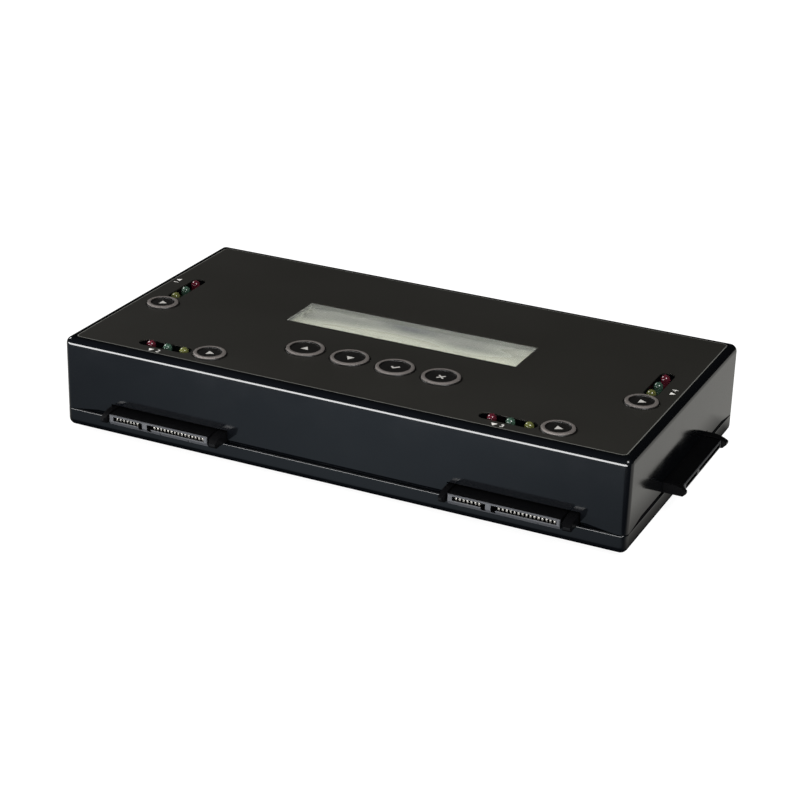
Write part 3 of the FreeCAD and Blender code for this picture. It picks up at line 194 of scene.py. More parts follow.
def velvet_film(tint):
    # Back-printed polycarbonate with a velvet-etched face: an even dark matt that is paler at a low angle.
    material, tree = empty_material("Velvet polycarbonate film")
    where = node(tree, "ShaderNodeTexCoord").outputs["Object"]
    cloud = node(tree, "ShaderNodeTexNoise", {"Vector": where, "Scale": per_mm(60), "Detail": 2.0})
    tints = {"Factor": cloud, 6: shade(tint, 0.9), 7: shade(tint, 1.1)}
    tone = node(tree, "ShaderNodeMix", tints, data_type="RGBA").outputs[2]
    limits = {"Value": cloud, "From Min": 0.3, "From Max": 0.7, "To Min": 0.5, "To Max": 0.58}
    sheen = node(tree, "ShaderNodeMapRange", limits)
    # The etch is about 0.1 mm; it is drawn at 0.5 mm, coarser than real, so that it shows.
    etch = node(tree, "ShaderNodeTexVoronoi", {"Vector": where, "Scale": per_mm(0.5)})
    skin = node(tree, "ShaderNodeBump", {"Height": etch, "Distance": 0.004 * MM})
    surface = {"Base Color": tone, "Roughness": sheen, "Specular IOR Level": 0.4, "Normal": skin}
    shader = node(tree, "ShaderNodeBsdfPrincipled", surface)
    node(tree, "ShaderNodeOutputMaterial", {"Surface": shader})
    return material


def grained(name, tint, shades, cloud, grain, rough, depth, sockets):
    """A finish whose tone drifts between two shades over a cloud, and whose sheen and skin follow a grain.

    Cloud and grain are a size in millimetres and a detail, rough is the least and most roughness, depth is in
    millimetres, and sockets are further values for the shader.
    """
    material, tree = empty_material(name)
    where = node(tree, "ShaderNodeTexCoord").outputs["Object"]
    noises = []
    for size, detail in (cloud, grain):
        place = {"Vector": where, "Scale": per_mm(size), "Detail": detail}
        noises.append(node(tree, "ShaderNodeTexNoise", place))
    drift, pits = noises
    tints = {"Factor": drift, 6: shade(tint, shades[0]), 7: shade(tint, shades[1])}
    tone = node(tree, "ShaderNodeMix", tints, data_type="RGBA").outputs[2]
    limits = {"Value": pits, "From Min": 0.3, "From Max": 0.7, "To Min": rough[0], "To Max": rough[1]}
    sheen = node(tree, "ShaderNodeMapRange", limits)
    skin = node(tree, "ShaderNodeBump", {"Height": pits, "Distance": depth * MM})
    surface = {"Base Color": tone, "Roughness": sheen, "Normal": skin, **sockets}
    shader = node(tree, "ShaderNodeBsdfPrincipled", surface)
    node(tree, "ShaderNodeOutputMaterial", {"Surface": shader})
    return material


def printed(name, tint):
    # Ink or paint laid on through a screen: flat and dense, with the mesh's faint mottle at 0.3 mm.
    mottle = (0.3, 3.0)
    sockets = {"Specular IOR Level": 0.3}
    return grained(name, tint, (0.86, 1.06), mottle, mottle, (0.42, 0.56), 0.006, sockets)


def moulded(name, tint, grain, depth, rough, level=0.5):
    """Opaque moulded stuff: a grain of this size and depth in millimetres, and a tone that drifts slowly."""
    sockets = {"Specular IOR Level": level}
    return grained(name, tint, (0.82, 1.18), (12, 3.0), (grain, 2.0), rough, depth, sockets)


def metal(name, tint, rough, marks):
    """Bare or plated metal: working marks of this width in millimetres, and stains ten times as wide."""
    return grained(name, tint, (0.82, 1.1), (10 * marks, 2.0), (marks, 4.0), rough, 0.002, {"Metallic": 1.0})


def lamp_epoxy(name, tint):
    # Cast tinted epoxy, unlit: a dark jewel colour that glows a little at its edges, under a wet skin.
    cloud = (1.2, 2.0)
    sockets = {
        "IOR": 1.54,
        "Subsurface Weight": 0.25,
        "Subsurface Radius": [0.6 * MM] * 3,
        "Subsurface Scale": 1.0,
        "Coat Weight": 0.6,
        "Coat Roughness": 0.04,
    }
    return grained(f"Tinted epoxy {name}", tint, (0.75, 1.25), cloud, cloud, (0.07, 0.12), 0.01, sockets)


def clear_acrylic(tint):
    # Extruded clear acrylic: bright, sharp reflections with a slow ripple, and a clear view of the cell.
    material, tree = empty_material("Clear extruded acrylic")
    where = node(tree, "ShaderNodeTexCoord").outputs["Object"]
    ripple = node(tree, "ShaderNodeTexNoise", {"Vector": where, "Scale": per_mm(14), "Detail": 1.0})
    limits = {"Value": ripple, "From Min": 0.3, "From Max": 0.7, "To Min": 0.02, "To Max": 0.05}
    sheen = node(tree, "ShaderNodeMapRange", limits)
    skin = node(tree, "ShaderNodeBump", {"Height": ripple, "Distance": 0.01 * MM})
    surface = {"Base Color": tint, "Roughness": sheen, "Normal": skin}
    surface.update({"IOR": 1.49, "Transmission Weight": 1.0})
    glass = node(tree, "ShaderNodeBsdfPrincipled", surface)
    clear = node(tree, "ShaderNodeBsdfTransparent", {"Color": tint})
    ray = node(tree, "ShaderNodeLightPath")
    shader = node(tree, "ShaderNodeMixShader", {0: ray.outputs["Is Shadow Ray"], 1: glass, 2: clear})
    node(tree, "ShaderNodeOutputMaterial", {"Surface": shader})
    return material


def display_cell(look):
    # Reflective display cell, switched off: a grey-green mirror-backed film, paler towards the front as a
    # painted reflection, with slow waves in it and the faint outlines of the character cells.
    material, tree = empty_material("Reflective display cell")
    low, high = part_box("display_window")
    middle = (low + high) / 2
    where = node(tree, "ShaderNodeTexCoord").outputs["Object"]
    axes = node(tree, "ShaderNodeSeparateXYZ", {"Vector": where})
    place = {"Vector": where, "Rotation": (0, 0, 0.12), "Scale": (1.0, 3.0, 1.0)}
    drawn = node(tree, "ShaderNodeMapping", place)
    cloud = node(tree, "ShaderNodeTexNoise", {"Vector": drawn, "Scale": per_mm(24), "Detail": 0.6})
    limits = {"Value": cloud, "From Min": 0.2, "From Max": 0.8, "To Min": -0.3, "To Max": 0.3}
    swing = node(tree, "ShaderNodeMapRange", limits)
    limits = {"Value": axes.outputs["Y"], "From Min": low.y, "From Max": high.y, "To Min": 0.1, "To Max": 0.9}
    along = node(tree, "ShaderNodeMapRange", limits)
    wave = node(tree, "ShaderNodeMath", {0: along, 1: swing}, operation="ADD", use_clamp=True)
    # The pale front and darker back are a painted reflection.
    tints = {"Factor": wave, 6: look.front_tint, 7: look.back_tint}
    tone = node(tree, "ShaderNodeMix", tints, data_type="RGBA").outputs[2]
    # Character cells of a two-line display stand 3.55 mm apart and are 5.7 mm high.
    grid = {"Vector": where, "Scale": per_mm(3.55), "Mortar Size": 0.05}
    grid.update({"Brick Width": 1.0, "Row Height": 1.6})
    cells = node(tree, "ShaderNodeTexBrick", grid, offset=0.0)
    faint = node(tree, "ShaderNodeMath", {0: cells.outputs["Fac"], 1: 0.06}, operation="MULTIPLY")
    tints = {"Factor": faint, 6: tone, 7: shade(look.front_tint, 1.2)}
    ruled = node(tree, "ShaderNodeMix", tints, data_type="RGBA").outputs[2]
    away = node(tree, "ShaderNodeMath", {0: axes.outputs["X"], 1: middle.x}, operation="SUBTRACT")
    reach = node(tree, "ShaderNodeMath", {0: away}, operation="ABSOLUTE")
    edge = high.x - middle.x - look.margin
    limits = {"Value": reach, "From Min": edge, "From Max": edge + 0.2 * MM, "To Min": 0.0, "To Max": 0.35}
    margin = node(tree, "ShaderNodeMapRange", limits)
    tints = {"Factor": margin, 6: ruled, 7: look.margin_tint}
    framed = node(tree, "ShaderNodeMix", tints, data_type="RGBA").outputs[2]
    limits = {"Value": cloud, "From Min": 0.3, "From Max": 0.7, "To Min": 0.25, "To Max": 0.35}
    sheen = node(tree, "ShaderNodeMapRange", limits)
    surface = {"Base Color": framed, "Roughness": sheen, "Specular IOR Level": 0.3}
    shader = node(tree, "ShaderNodeBsdfPrincipled", surface)
    node(tree, "ShaderNodeOutputMaterial", {"Surface": shader})
    return material


def solder_mask(tint):
    # Glass laminate under green solder mask: half-gloss, with the cloth's weave just showing through.
    material, tree = empty_material("Solder masked laminate")
    where = node(tree, "ShaderNodeTexCoord").outputs["Object"]
    cloud = node(tree, "ShaderNodeTexNoise", {"Vector": where, "Scale": per_mm(9), "Detail": 3.0})
    tints = {"Factor": cloud, 6: shade(tint, 0.75), 7: shade(tint, 1.2)}
    tone = node(tree, "ShaderNodeMix", tints, data_type="RGBA").outputs[2]
    limits = {"Value": cloud, "From Min": 0.3, "From Max": 0.7, "To Min": 0.25, "To Max": 0.4}
    sheen = node(tree, "ShaderNodeMapRange", limits)
    # The yarns lie about 0.5 mm apart; they are drawn at 1.2 mm, coarser than real.
    weave = node(tree, "ShaderNodeTexBrick", {"Vector": where, "Scale": per_mm(1.2), "Mortar Size": 0.04})
    skin = node(tree, "ShaderNodeBump", {"Height": weave.outputs["Fac"], "Distance": 0.01 * MM})
    surface = {"Base Color": tone, "Roughness": sheen, "Normal": skin}
    shader = node(tree, "ShaderNodeBsdfPrincipled", surface)
    node(tree, "ShaderNodeOutputMaterial", {"Surface": shader})
    return material


def box_of(points):
    """Lower and upper corners of the box round some points."""
    columns = list(zip(*points))
    return Vector([min(c) for c in columns]), Vector([max(c) for c in columns])


def mesh_of(bm, name):
    mesh = bpy.data.meshes.new(name)
    bm.to_mesh(mesh)
    bm.free()
    return mesh


def applied(name, mesh, modifiers):
    """The mesh with these modifiers worked in."""
    probe = bpy.data.objects.new(name + "_work", mesh)
    bpy.context.scene.collection.objects.link(probe)
    for kind, settings in modifiers:
        modifier = probe.modifiers.new(kind, kind)
        for key, value in settings.items():
            setattr(modifier, key, value)
    depsgraph = bpy.context.evaluated_depsgraph_get()
    result = bpy.data.meshes.new_from_object(probe.evaluated_get(depsgraph))
    bpy.data.objects.remove(probe)
    result.name = name
    return result


def add_piece(name, mesh, body, materials, replaced=()):
    """Makes the mesh a piece of the object: it rides a body and may stand for frame nodes."""
    if not mesh.polygons:
        raise RuntimeError(f"{name} has no faces")
    for material in materials:
        if material.name not in mesh.materials:
            mesh.materials.append(material)
    piece = bpy.data.objects.new(name, mesh)
    bpy.context.scene.collection.objects.link(piece)
    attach(piece, body)
    if replaced:
        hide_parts(*replaced)
    return piece


def paint_node(name, material):
    """Gives a frame node its finish."""
    slots = NODES[name].data.materials
    if len(slots) == 0:
        slots.append(material)
    for i in range(len(slots)):
        slots[i] = material


def welded(name):
    """A copy of a frame node's loose triangles, joined where they meet."""
    bm = bmesh.new()
    bm.from_mesh(NODES[name].data)
    bmesh.ops.remove_doubles(bm, verts=bm.verts, dist=WELD)
    return bm


def join_flats(bm):
    """Joins neighbouring triangles of one plane to whole faces."""
    bmesh.ops.dissolve_limit(bm, angle_limit=FLAT_ANGLE, verts=bm.verts, edges=bm.edges)


def closed_mesh(bm, name, sharp=None):
    """The mesh of a closed shape, facing outwards, with edges past an angle in degrees kept sharp."""
    bmesh.ops.recalc_face_normals(bm, faces=bm.faces)
    mesh = mesh_of(bm, name)
    if sharp:
        mesh.set_sharp_from_angle(angle=math.radians(sharp))
    return mesh


def smooth_copy(name, bevel=0.0):
    """A copy of a frame node's mesh, with its sharp edges slightly rounded and even shading."""
    bm = welded(name)
    join_flats(bm)
    for face in bm.faces:
        face.smooth = True
        face.material_index = 0
    mesh = mesh_of(bm, name + "_welded")
    mesh.materials.clear()
    for layer in ("custom_normal", "sharp_edge"):
        if layer in mesh.attributes:
            mesh.attributes.remove(mesh.attributes[layer])
    mesh.set_sharp_from_angle(angle=SHARP_ANGLE)
    modifiers = []
    if bevel:
        settings = {
            "width": bevel,
            "segments": 2,
            "limit_method": "ANGLE",
            "angle_limit": ROUND_ANGLE,
            "use_clamp_overlap": True,
            "miter_outer": "MITER_ARC",
        }
        modifiers.append(("BEVEL", settings))
    modifiers.append(("WEIGHTED_NORMAL", {"keep_sharp": True, "weight": 80}))
    return applied(name + "_finished", mesh, modifiers)


def arc(centre, radius, start, end, steps):
    """Points on a circle in the r-z plane, from one angle to another in degrees."""
    turn = [math.radians(start + (end - start) * i / steps) for i in range(steps + 1)]
    return [(centre[0] + radius * math.cos(a), centre[1] + radius * math.sin(a)) for a in turn]


def turned(bm, outline, centre=(0, 0, 0), sides=64):
    """Turns (radius, height, paint) points about the upright axis through centre.

    Paint is the material slot of the band from that point to the next.
    """
    rings = []
    for radius, height, _ in outline:
        if radius < 1e-9:
            rings.append([bm.verts.new((centre[0], centre[1], centre[2] + height))])
            continue
        ring = []
        for i in range(sides):
            a = 2 * math.pi * i / sides
            spot = (centre[0] + radius * math.cos(a), centre[1] + radius * math.sin(a), centre[2] + height)
            ring.append(bm.verts.new(spot))
        rings.append(ring)
    for (low, high), (_, _, paint) in zip(zip(rings, rings[1:]), outline):
        for i in range(sides):
            j = (i + 1) % sides
            corners = [low[i % len(low)], low[j % len(low)], high[j % len(high)], high[i % len(high)]]
            corners = list(dict.fromkeys(corners))
            if len(corners) > 2:
                face = bm.faces.new(corners)
                face.smooth = True
                face.material_index = paint
    return bm


def prism(bm, outline, low, high):
    """An upright prism over a plan outline."""
    bottom = [bm.verts.new((x, y, low)) for x, y in outline]
    top = [bm.verts.new((x, y, high)) for x, y in outline]
    bm.faces.new(top)
    bm.faces.new(bottom[::-1])
    for i in range(len(outline)):
        j = (i + 1) % len(outline)
        bm.faces.new([bottom[i], bottom[j], top[j], top[i]])


def moved(outline, x, y, turn=0.0):
    """A plan outline turned by an angle in radians, then shifted."""
    c, s = math.cos(turn), math.sin(turn)
    return [(x + c * px - s * py, y + s * px + c * py) for px, py in outline]


def triangle(size, turn):
    """An even-sided triangle that points along turn, in degrees."""
    corners = [math.radians(turn + step) for step in (0, 120, 240)]
    return [(size * math.cos(a), size * math.sin(a)) for a in corners]


def cross(size, width):
    """A diagonal cross whose arms have this reach and width."""
    half = width / 2
    quarter = [(half, half), (half, size), (-half, size)]
    points = []
    for turn in (0, 90, 180, 270):
        points += moved(quarter, 0, 0, math.radians(turn))
    return moved(points, 0, 0, math.radians(45))


def tick(size):
    corners = [(-0.95, 0.0), (-0.2, -0.75), (1.0, 0.45), (0.7, 0.75), (-0.2, -0.15), (-0.65, 0.3)]
    return [(size * x, size * y) for x, y in corners]


def numeral(text, size, depth):
    """A slab of plain figures of this height, its lower left corner at the origin."""
    curve = bpy.data.curves.new("figures", "FONT")
    curve.body = text
    curve.size = size
    curve.extrude = depth / 2
    probe = bpy.data.objects.new("figures", curve)
    bpy.context.scene.collection.objects.link(probe)
    depsgraph = bpy.context.evaluated_depsgraph_get()
    mesh = bpy.data.meshes.new_from_object(probe.evaluated_get(depsgraph))
    bpy.data.objects.remove(probe)
    low, high = box_of([v.co for v in mesh.vertices])
    scale = size / (high.y - low.y)
    mesh.transform(Matrix.Diagonal((scale, scale, 1, 1)) @ Matrix.Translation(-low))
    return mesh


def port_place(number):
    """Frame of one port: x along the wall, y into the case, its origin on the wall's outer face."""
    low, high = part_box(f"drive_contacts_{number}")
    spot = (low + high) / 2
    if number == 1:
        spot.x = COVER_LOW.x
    elif number == 4:
        spot.x = COVER_HIGH.x
    else:
        spot.y = COVER_LOW.y
    spot.z = 0
    return Matrix.Translation(spot) @ Matrix.Rotation(math.radians(PORT_TURN[number]), 4, "Z")


def new_group(name, inputs):
    """An empty node group with these inputs, each a name and a kind of socket, and what they bring in."""
    tree = bpy.data.node_groups.new(name, "GeometryNodeTree")
    for label, kind in inputs.items():
        tree.interface.new_socket(label, in_out="INPUT", socket_type="NodeSocket" + kind)
    tree.interface.new_socket("Copies", in_out="OUTPUT", socket_type="NodeSocketGeometry")
    return tree, node(tree, "NodeGroupInput").outputs


def end_group(tree, given, points):
    """Ends a node group: its pattern stands at every point, is made real and gets one finish."""
    pattern = node(tree, "GeometryNodeObjectInfo", {"Object": given["Pattern"]}).outputs["Geometry"]
    copies = node(tree, "GeometryNodeInstanceOnPoints", {"Points": points, "Instance": pattern})
    real = node(tree, "GeometryNodeRealizeInstances", {"Geometry": copies})
    finished = node(tree, "GeometryNodeSetMaterial", {"Geometry": real, "Material": given["Finish"]})
    node(tree, "NodeGroupOutput", {"Copies": finished})
    return tree


def copies_tree():
    """Node group: copies of one object at every point of the mesh."""
    inputs = {"Points": "Geometry", "Pattern": "Object", "Finish": "Material"}
    tree, given = new_group("Copies at points", inputs)
    return end_group(tree, given, node(tree, "GeometryNodeMeshToPoints", {"Mesh": given["Points"]}))


def contact_row_tree():
    """Node group: a signal row and a power row of one contact at an even pitch, with a wider step between."""
    inputs = {"Mesh": "Geometry", "Pattern": "Object", "Finish": "Material"}
    inputs.update({"Signal ways": "Int", "Power ways": "Int", "Pitch": "Float", "Length": "Float"})
    tree, given = new_group("Contact row", inputs)
    first = node(tree, "ShaderNodeMath", {0: given["Length"], 1: -0.5}, operation="MULTIPLY")
    last = node(tree, "ShaderNodeMath", {0: given["Length"], 1: 0.5}, operation="MULTIPLY")
    left = node(tree, "ShaderNodeCombineXYZ", {"X": first})
    right = node(tree, "ShaderNodeCombineXYZ", {"X": last})
    onward = node(tree, "ShaderNodeCombineXYZ", {"X": given["Pitch"]})
    back = node(tree, "ShaderNodeVectorMath", {0: onward, "Scale": -1.0}, operation="SCALE")
    signal = {"Count": given["Signal ways"], "Start Location": left, "Offset": onward}
    power = {"Count": given["Power ways"], "Start Location": right, "Offset": back}
    rows = node(tree, "GeometryNodeJoinGeometry", {"Geometry": node(tree, "GeometryNodeMeshLine", signal)})
    tree.links.new(node(tree, "GeometryNodeMeshLine", power).outputs[0], rows.inputs["Geometry"])
    return end_group(tree, given, rows)


def grown(name, make_tree, pattern_mesh, material, spots=(), **sizes):
    """The plain mesh that a node group makes of the pattern, with its named inputs set."""
    tree = make_tree()
    points = bpy.data.meshes.new(name + "_spots")
    points.from_pydata([tuple(s) for s in spots], [], [])
    carrier = bpy.data.objects.new(name + "_carrier", points)
    pattern = bpy.data.objects.new(name + "_pattern", pattern_mesh)
    for obj in (carrier, pattern):
        bpy.context.scene.collection.objects.link(obj)
    modifier = carrier.modifiers.new("Copies", "NODES")
    modifier.node_group = tree
    sockets = {item.name: item.identifier for item in tree.interface.items_tree if item.in_out == "INPUT"}
    modifier[sockets["Pattern"]] = pattern
    modifier[sockets["Finish"]] = material
    for key, value in sizes.items():
        modifier[sockets[key.replace("_", " ")]] = value
    depsgraph = bpy.context.evaluated_depsgraph_get()
    mesh = bpy.data.meshes.new_from_object(carrier.evaluated_get(depsgraph))
    for obj in (carrier, pattern):
        bpy.data.objects.remove(obj)
    mesh.name = name
    return mesh


def loose_parts(name):
    """The lower and upper corners of each separate solid of a frame node."""
    bm = welded(name)
    left = set(bm.verts)
    groups = []
    while left:
        queue = [left.pop()]
        group = []
        while queue:
            vert = queue.pop()
            group.append(vert.co.copy())
            for edge in vert.link_edges:
                other = edge.other_vert(vert)
                if other in left:
                    left.remove(other)
                    queue.append(other)
        groups.append(group)
    bm.free()
    return sorted(map(box_of, groups), key=lambda b: (round(b[0].x, 5), round(b[0].y, 5)))


def cut_to_box(bm, low, high):
    """Keeps only what lies between two corners."""
    slack = Vector((NEAR,) * 3)
    low, high = low - slack, high + slack
    outside = [v for v in bm.verts if any(not low[i] < v.co[i] < high[i] for i in range(3))]
    bmesh.ops.delete(bm, geom=outside, context="VERTS")


def stand_in(node_name, piece_name, material, make_pattern):
    """A piece with a finer shape in the place of each solid of a frame node.

    The shape is made for the half-width and the height of the node's first solid.
    """
    boxes = loose_parts(node_name)
    low, high = boxes[0]
    pattern = make_pattern((high.x - low.x) / 2, high.z - low.z)
    spots = [((a.x + b.x) / 2, (a.y + b.y) / 2, a.z) for a, b in boxes]
    mesh = grown(piece_name, copies_tree, pattern, material, spots)
    add_piece(piece_name, mesh, "case", [material], [node_name])


class ShellSettings(bpy.types.PropertyGroup):
    tint: colour("Shell colour", "#050608")
    film_tint: colour("Film colour", "#22211d")
    # The film margin colour is a painted highlight on the sloping band along the film's cut edge.
    cut_tint: colour("Film margin colour", "#6b6b67")
    ink_tint: colour("Ink colour", "#e8e6e1")
    ink_depth: length("Ink depth", "How far printed ink stands off", 0.03)
    film_rim: length("Film margin", "Width of the clear margin along the film's cut edge", 0.3)
    film_drop: length("Film edge drop", "How far the film's face falls at its cut edge", 0.02)
    figure_height: length("Figure height", "Height of the port figures", 1.9)
    figure_step: length("Figure step", "Distance from an arrow's middle to its figure", 2.2)
    mark_size: length("Mark size", "Half-size of the port arrows", 1.15)


class KeySettings(bpy.types.PropertyGroup):
    face_tint: colour("Face colour", "#121110")
    ring_tint: colour("Ring colour", "#625d5a")
    ring: length("Ring width", "Width of the painted ring", 1.35)
    shoulder: length("Shoulder", "Width and height of the bare sloping edge outside the ring", 0.25)
    rise: length("Ring rise", "How far the ring stands over the face", 0.5)
    dish: length("Dish", "Depth of the hollow in the face", 0.03)
    flange: length("Flange width", "How far the flange reaches past the cap", 0.7)
    flange_depth: length("Flange depth", "Thickness of the flange", 1.0)
    stem: length("Stem radius", "Radius of the stem under the cap", 1.6)
    legend: length("Legend size", "Half-size of the printed symbols", 1.55)
    legend_tint: colour("Legend colour", "#bdbbb6")


class DisplaySettings(bpy.types.PropertyGroup):
    lens_tint: colour("Lens tint", "#fbfcfa")
    # Front and back tints are a painted reflection across the cell.
    front_tint: colour("Front tint", "#e8e8d9")
    back_tint: colour("Back tint", "#7f8083")
    margin_tint: colour("Margin tint", "#c9cbc0")
    margin: length("End margin", "How far the cell's paler ends reach in from the lens's ends", 3.4)
    bevel: length("Lens bevel", "Bevel round the lens face", 0.12)
    # The frame colour is painted light: white that lifts the shade under the panel.
    frame_tint: colour("Frame colour", "#eceee8")
    guide_tint: colour("Guide colour", "#dfe3dc")
    # The border colour is painted light: a pale fill for the shade round the cell.
    border_tint: colour("Border colour", "#a3a4a0")
    lens_lift: length("Lens lift", "How far the printed border stands off the ledge under it", 0.03)
    seal: length("Seal width", "Width of the foam seal round the cell", 0.8)
    seal_gap: length("Seal gap", "Room left over and under the foam seal", 0.01)


class LampSettings(bpy.types.PropertyGroup):
    red: colour("Red", "#4a1822")
    green: colour("Green", "#31463b")
    yellow: colour("Yellow", "#54572f")
    flange: length("Flange width", "How far the flange reaches past the barrel", 0.4)
    flange_depth: length("Flange depth", "Thickness of the flange", 1.0)
    flange_round: length("Flange round", "Width of the flange's soft edges", 0.1)
    sides: IntProperty(name="Sides", description="Facets round each lamp", min=12, default=40)


class PortSettings(bpy.types.PropertyGroup):
    tint: colour("Housing colour", "#070708")
    # The lit colour is painted light on the nose's outward faces, where the front light falls.
    rubbed: colour("Painted lit colour", "#343538")
    edge: length("Edge round", "Width of the soft edge of the housings", 0.1)
    nose: length("Nose reach", "How far out of the wall the rubbed faces begin", 5.0)
    nose_half: length("Nose half-length", "Half-length of the nose between the arms", 18.6)
    plating: colour("Contact plating", "#8f8d88")
    contact_edge: length("Contact edge", "Width of the soft edge of the contacts", 0.12)
    pitch: length("Contact pitch", "Distance from contact to contact", 1.27)
    signal_ways: IntProperty(name="Signal ways", description="Contacts in the narrow row", min=1, default=7)
    power_ways: IntProperty(name="Power ways", description="Contacts in the wide row", min=1, default=15)


class RearSettings(bpy.types.PropertyGroup):
    black: colour("Switch colour", "#131416")
    nickel: colour("Nickel", "#c9c7c0")
    plating: colour("Pin plating", "#d7b265")
    edge: length("Edge round", "Width of the soft edges", 0.12)
    mark_size: length("Mark size", "Half-height of the switch's marks", 1.0)
    mark_line: length("Mark line", "Line width of the switch's marks", 0.32)
    mark_depth: length("Mark depth", "How far the switch's marks stand off", 0.03)


class FastenerSettings(bpy.types.PropertyGroup):
    steel: colour("Screw colour", "#55565a")
    rubber: colour("Rubber colour", "#1b1b1c")
    drive: length("Cross width", "Width of the cross recess's arms", 0.9)
    drive_reach: length("Cross reach", "Half-length of the cross recess", 1.7)
    drive_depth: length("Cross depth", "Depth of the cross recess", 1.2)
    head: length("Head height", "Height of the screw heads", 2.2)
    head_round: length("Head round", "Round on the edge of the screw heads", 0.6)
    shank: length("Shank radius", "Radius of the screws' shanks", 1.45)
    foot_round: length("Foot round", "Round on the lower edge of the feet", 0.5)
    foot_dish: length("Foot dish", "Depth of the hollow in the feet's soles", 0.3)


class StageSettings(bpy.types.PropertyGroup):
    lens: FloatProperty(name="Lens", description="Focal length in millimetres", min=1, default=93.855)
    azimuth: angle("Azimuth", "Camera's turn round the object", 25.06)
    elevation: angle("Elevation", "Camera's height angle", 23.70)
    roll: angle("Roll", "Camera's roll", 1.59)
    eye: FloatVectorProperty(
        name="Eye",
        description="Camera's place",
        unit="LENGTH",
        size=3,
        default=(0.26635, -0.57009, 0.28780),
    )
    ambient: amount("Ambient", "Even light from all round", 0.5)
    overhead: amount("Overhead", "Brightness of the upper room in reflections", 0.006)
    # The front floor colour is a painted reflection, seen only in the case's gloss.
    front_glow: colour("Front floor", "#9fabb4")
    side_glow: colour("Side floor", "#cac9c4")
    strip: amount("Strip", "Power of the low front strip light in watts", 8.4)
    spots: amount("Spots", "Power of each of the two high lights in watts", 5.0)


class ERASER_OT_shell(bpy.types.Operator):
    """Cover, tray, printed film and its marks"""

    bl_idname = "eraser.shell"
    bl_label = "Case"

    def execute(self, context):
        look = context.scene.eraser_shell
        plastic = gloss_abs(look.tint)
        # Painted light: the display opening's walls are painted pale, so that the cell looks bright up to its
        # edges.
        lining = printed("Pale lining paint", context.scene.eraser_display.border_tint)
        cover = smooth_copy("top_cover")
        self.line_opening(cover)
        add_piece("top_cover_shell", cover, "case", [plastic, lining], ["top_cover"])
        tray = smooth_copy("bottom_tray")
        add_piece("bottom_tray_shell", tray, "case", [plastic], ["bottom_tray"])
        self.film(look)
        self.marks(look)
        return {"FINISHED"}

    def line_opening(self, mesh):
        """Gives the walls of the display opening, under the lens, the pale paint that stands in for light."""
        low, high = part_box("display_window")
        for face in mesh.polygons:
            spot = face.center
            inside = low.x < spot.x < high.x and low.y < spot.y < high.y
            under = low.z - OPENING_DEPTH < spot.z < low.z
            face.material_index = 1 if inside and under and abs(face.normal.z) < 0.1 else 0

    def film(self, look):
        """The printed film, whose face falls a little at its outline."""
        sheet = velvet_film(look.film_tint)
        # The sloping margin along the die-cut edge is coloured paler, a painted highlight that shows as a
        # thin line.
        cut = printed("Clear polycarbonate margin", look.cut_tint)
        bm = welded("control_overlay")
        join_flats(bm)
        top = FILM_HIGH.z
        rim = [e for e in bm.edges if all(v.co.z > top - NEAR and self.outer(v.co) for v in e.verts)]
        settings = {"offset_type": "OFFSET", "segments": 1, "profile": 0.5, "affect": "EDGES"}
        bmesh.ops.bevel(bm, geom=rim, offset=look.film_rim, **settings)
        for vert in bm.verts:
            if abs(vert.co.z - (top - look.film_rim)) < NEAR:
                vert.co.z = top - look.film_drop
        bm.normal_update()
        mesh = mesh_of(bm, "overlay_sheet")
        mesh.materials.clear()
        for face in mesh.polygons:
            face.material_index = 1 if 0.5 < face.normal.z < 0.9999 else 0
        add_piece("overlay_sheet", mesh, "case", [sheet, cut], ["control_overlay"])

    def outer(self, spot):
        """Whether a point of the film lies near its outline."""
        across = FILM_LOW.x + FILM_BORDER < spot.x < FILM_HIGH.x - FILM_BORDER
        return not (across and FILM_LOW.y + FILM_BORDER < spot.y < FILM_HIGH.y - FILM_BORDER)

    def marks(self, look):
        """An arrow and a figure at each port."""
        white = printed("White screen ink", look.ink_tint)
        bm = bmesh.new()
        low = FILM_HIGH.z
        for number in PORTS:
            here = bmesh.new()
            along, inset = MARK_PLACES[number]
            arrow = moved(triangle(look.mark_size, -90), along * MM, inset * MM)
            prism(here, arrow, low, low + look.ink_depth)
            figure = numeral(str(number), look.figure_height, look.ink_depth)
            spot = (along * MM + look.figure_step, inset * MM - look.figure_height / 2, low)
            figure.transform(Matrix.Translation(spot))
            here.from_mesh(figure)
            mesh = mesh_of(here, "mark")
            mesh.transform(port_place(number))
            bm.from_mesh(mesh)
        add_piece("port_marks", mesh_of(bm, "port_marks"), "case", [white])


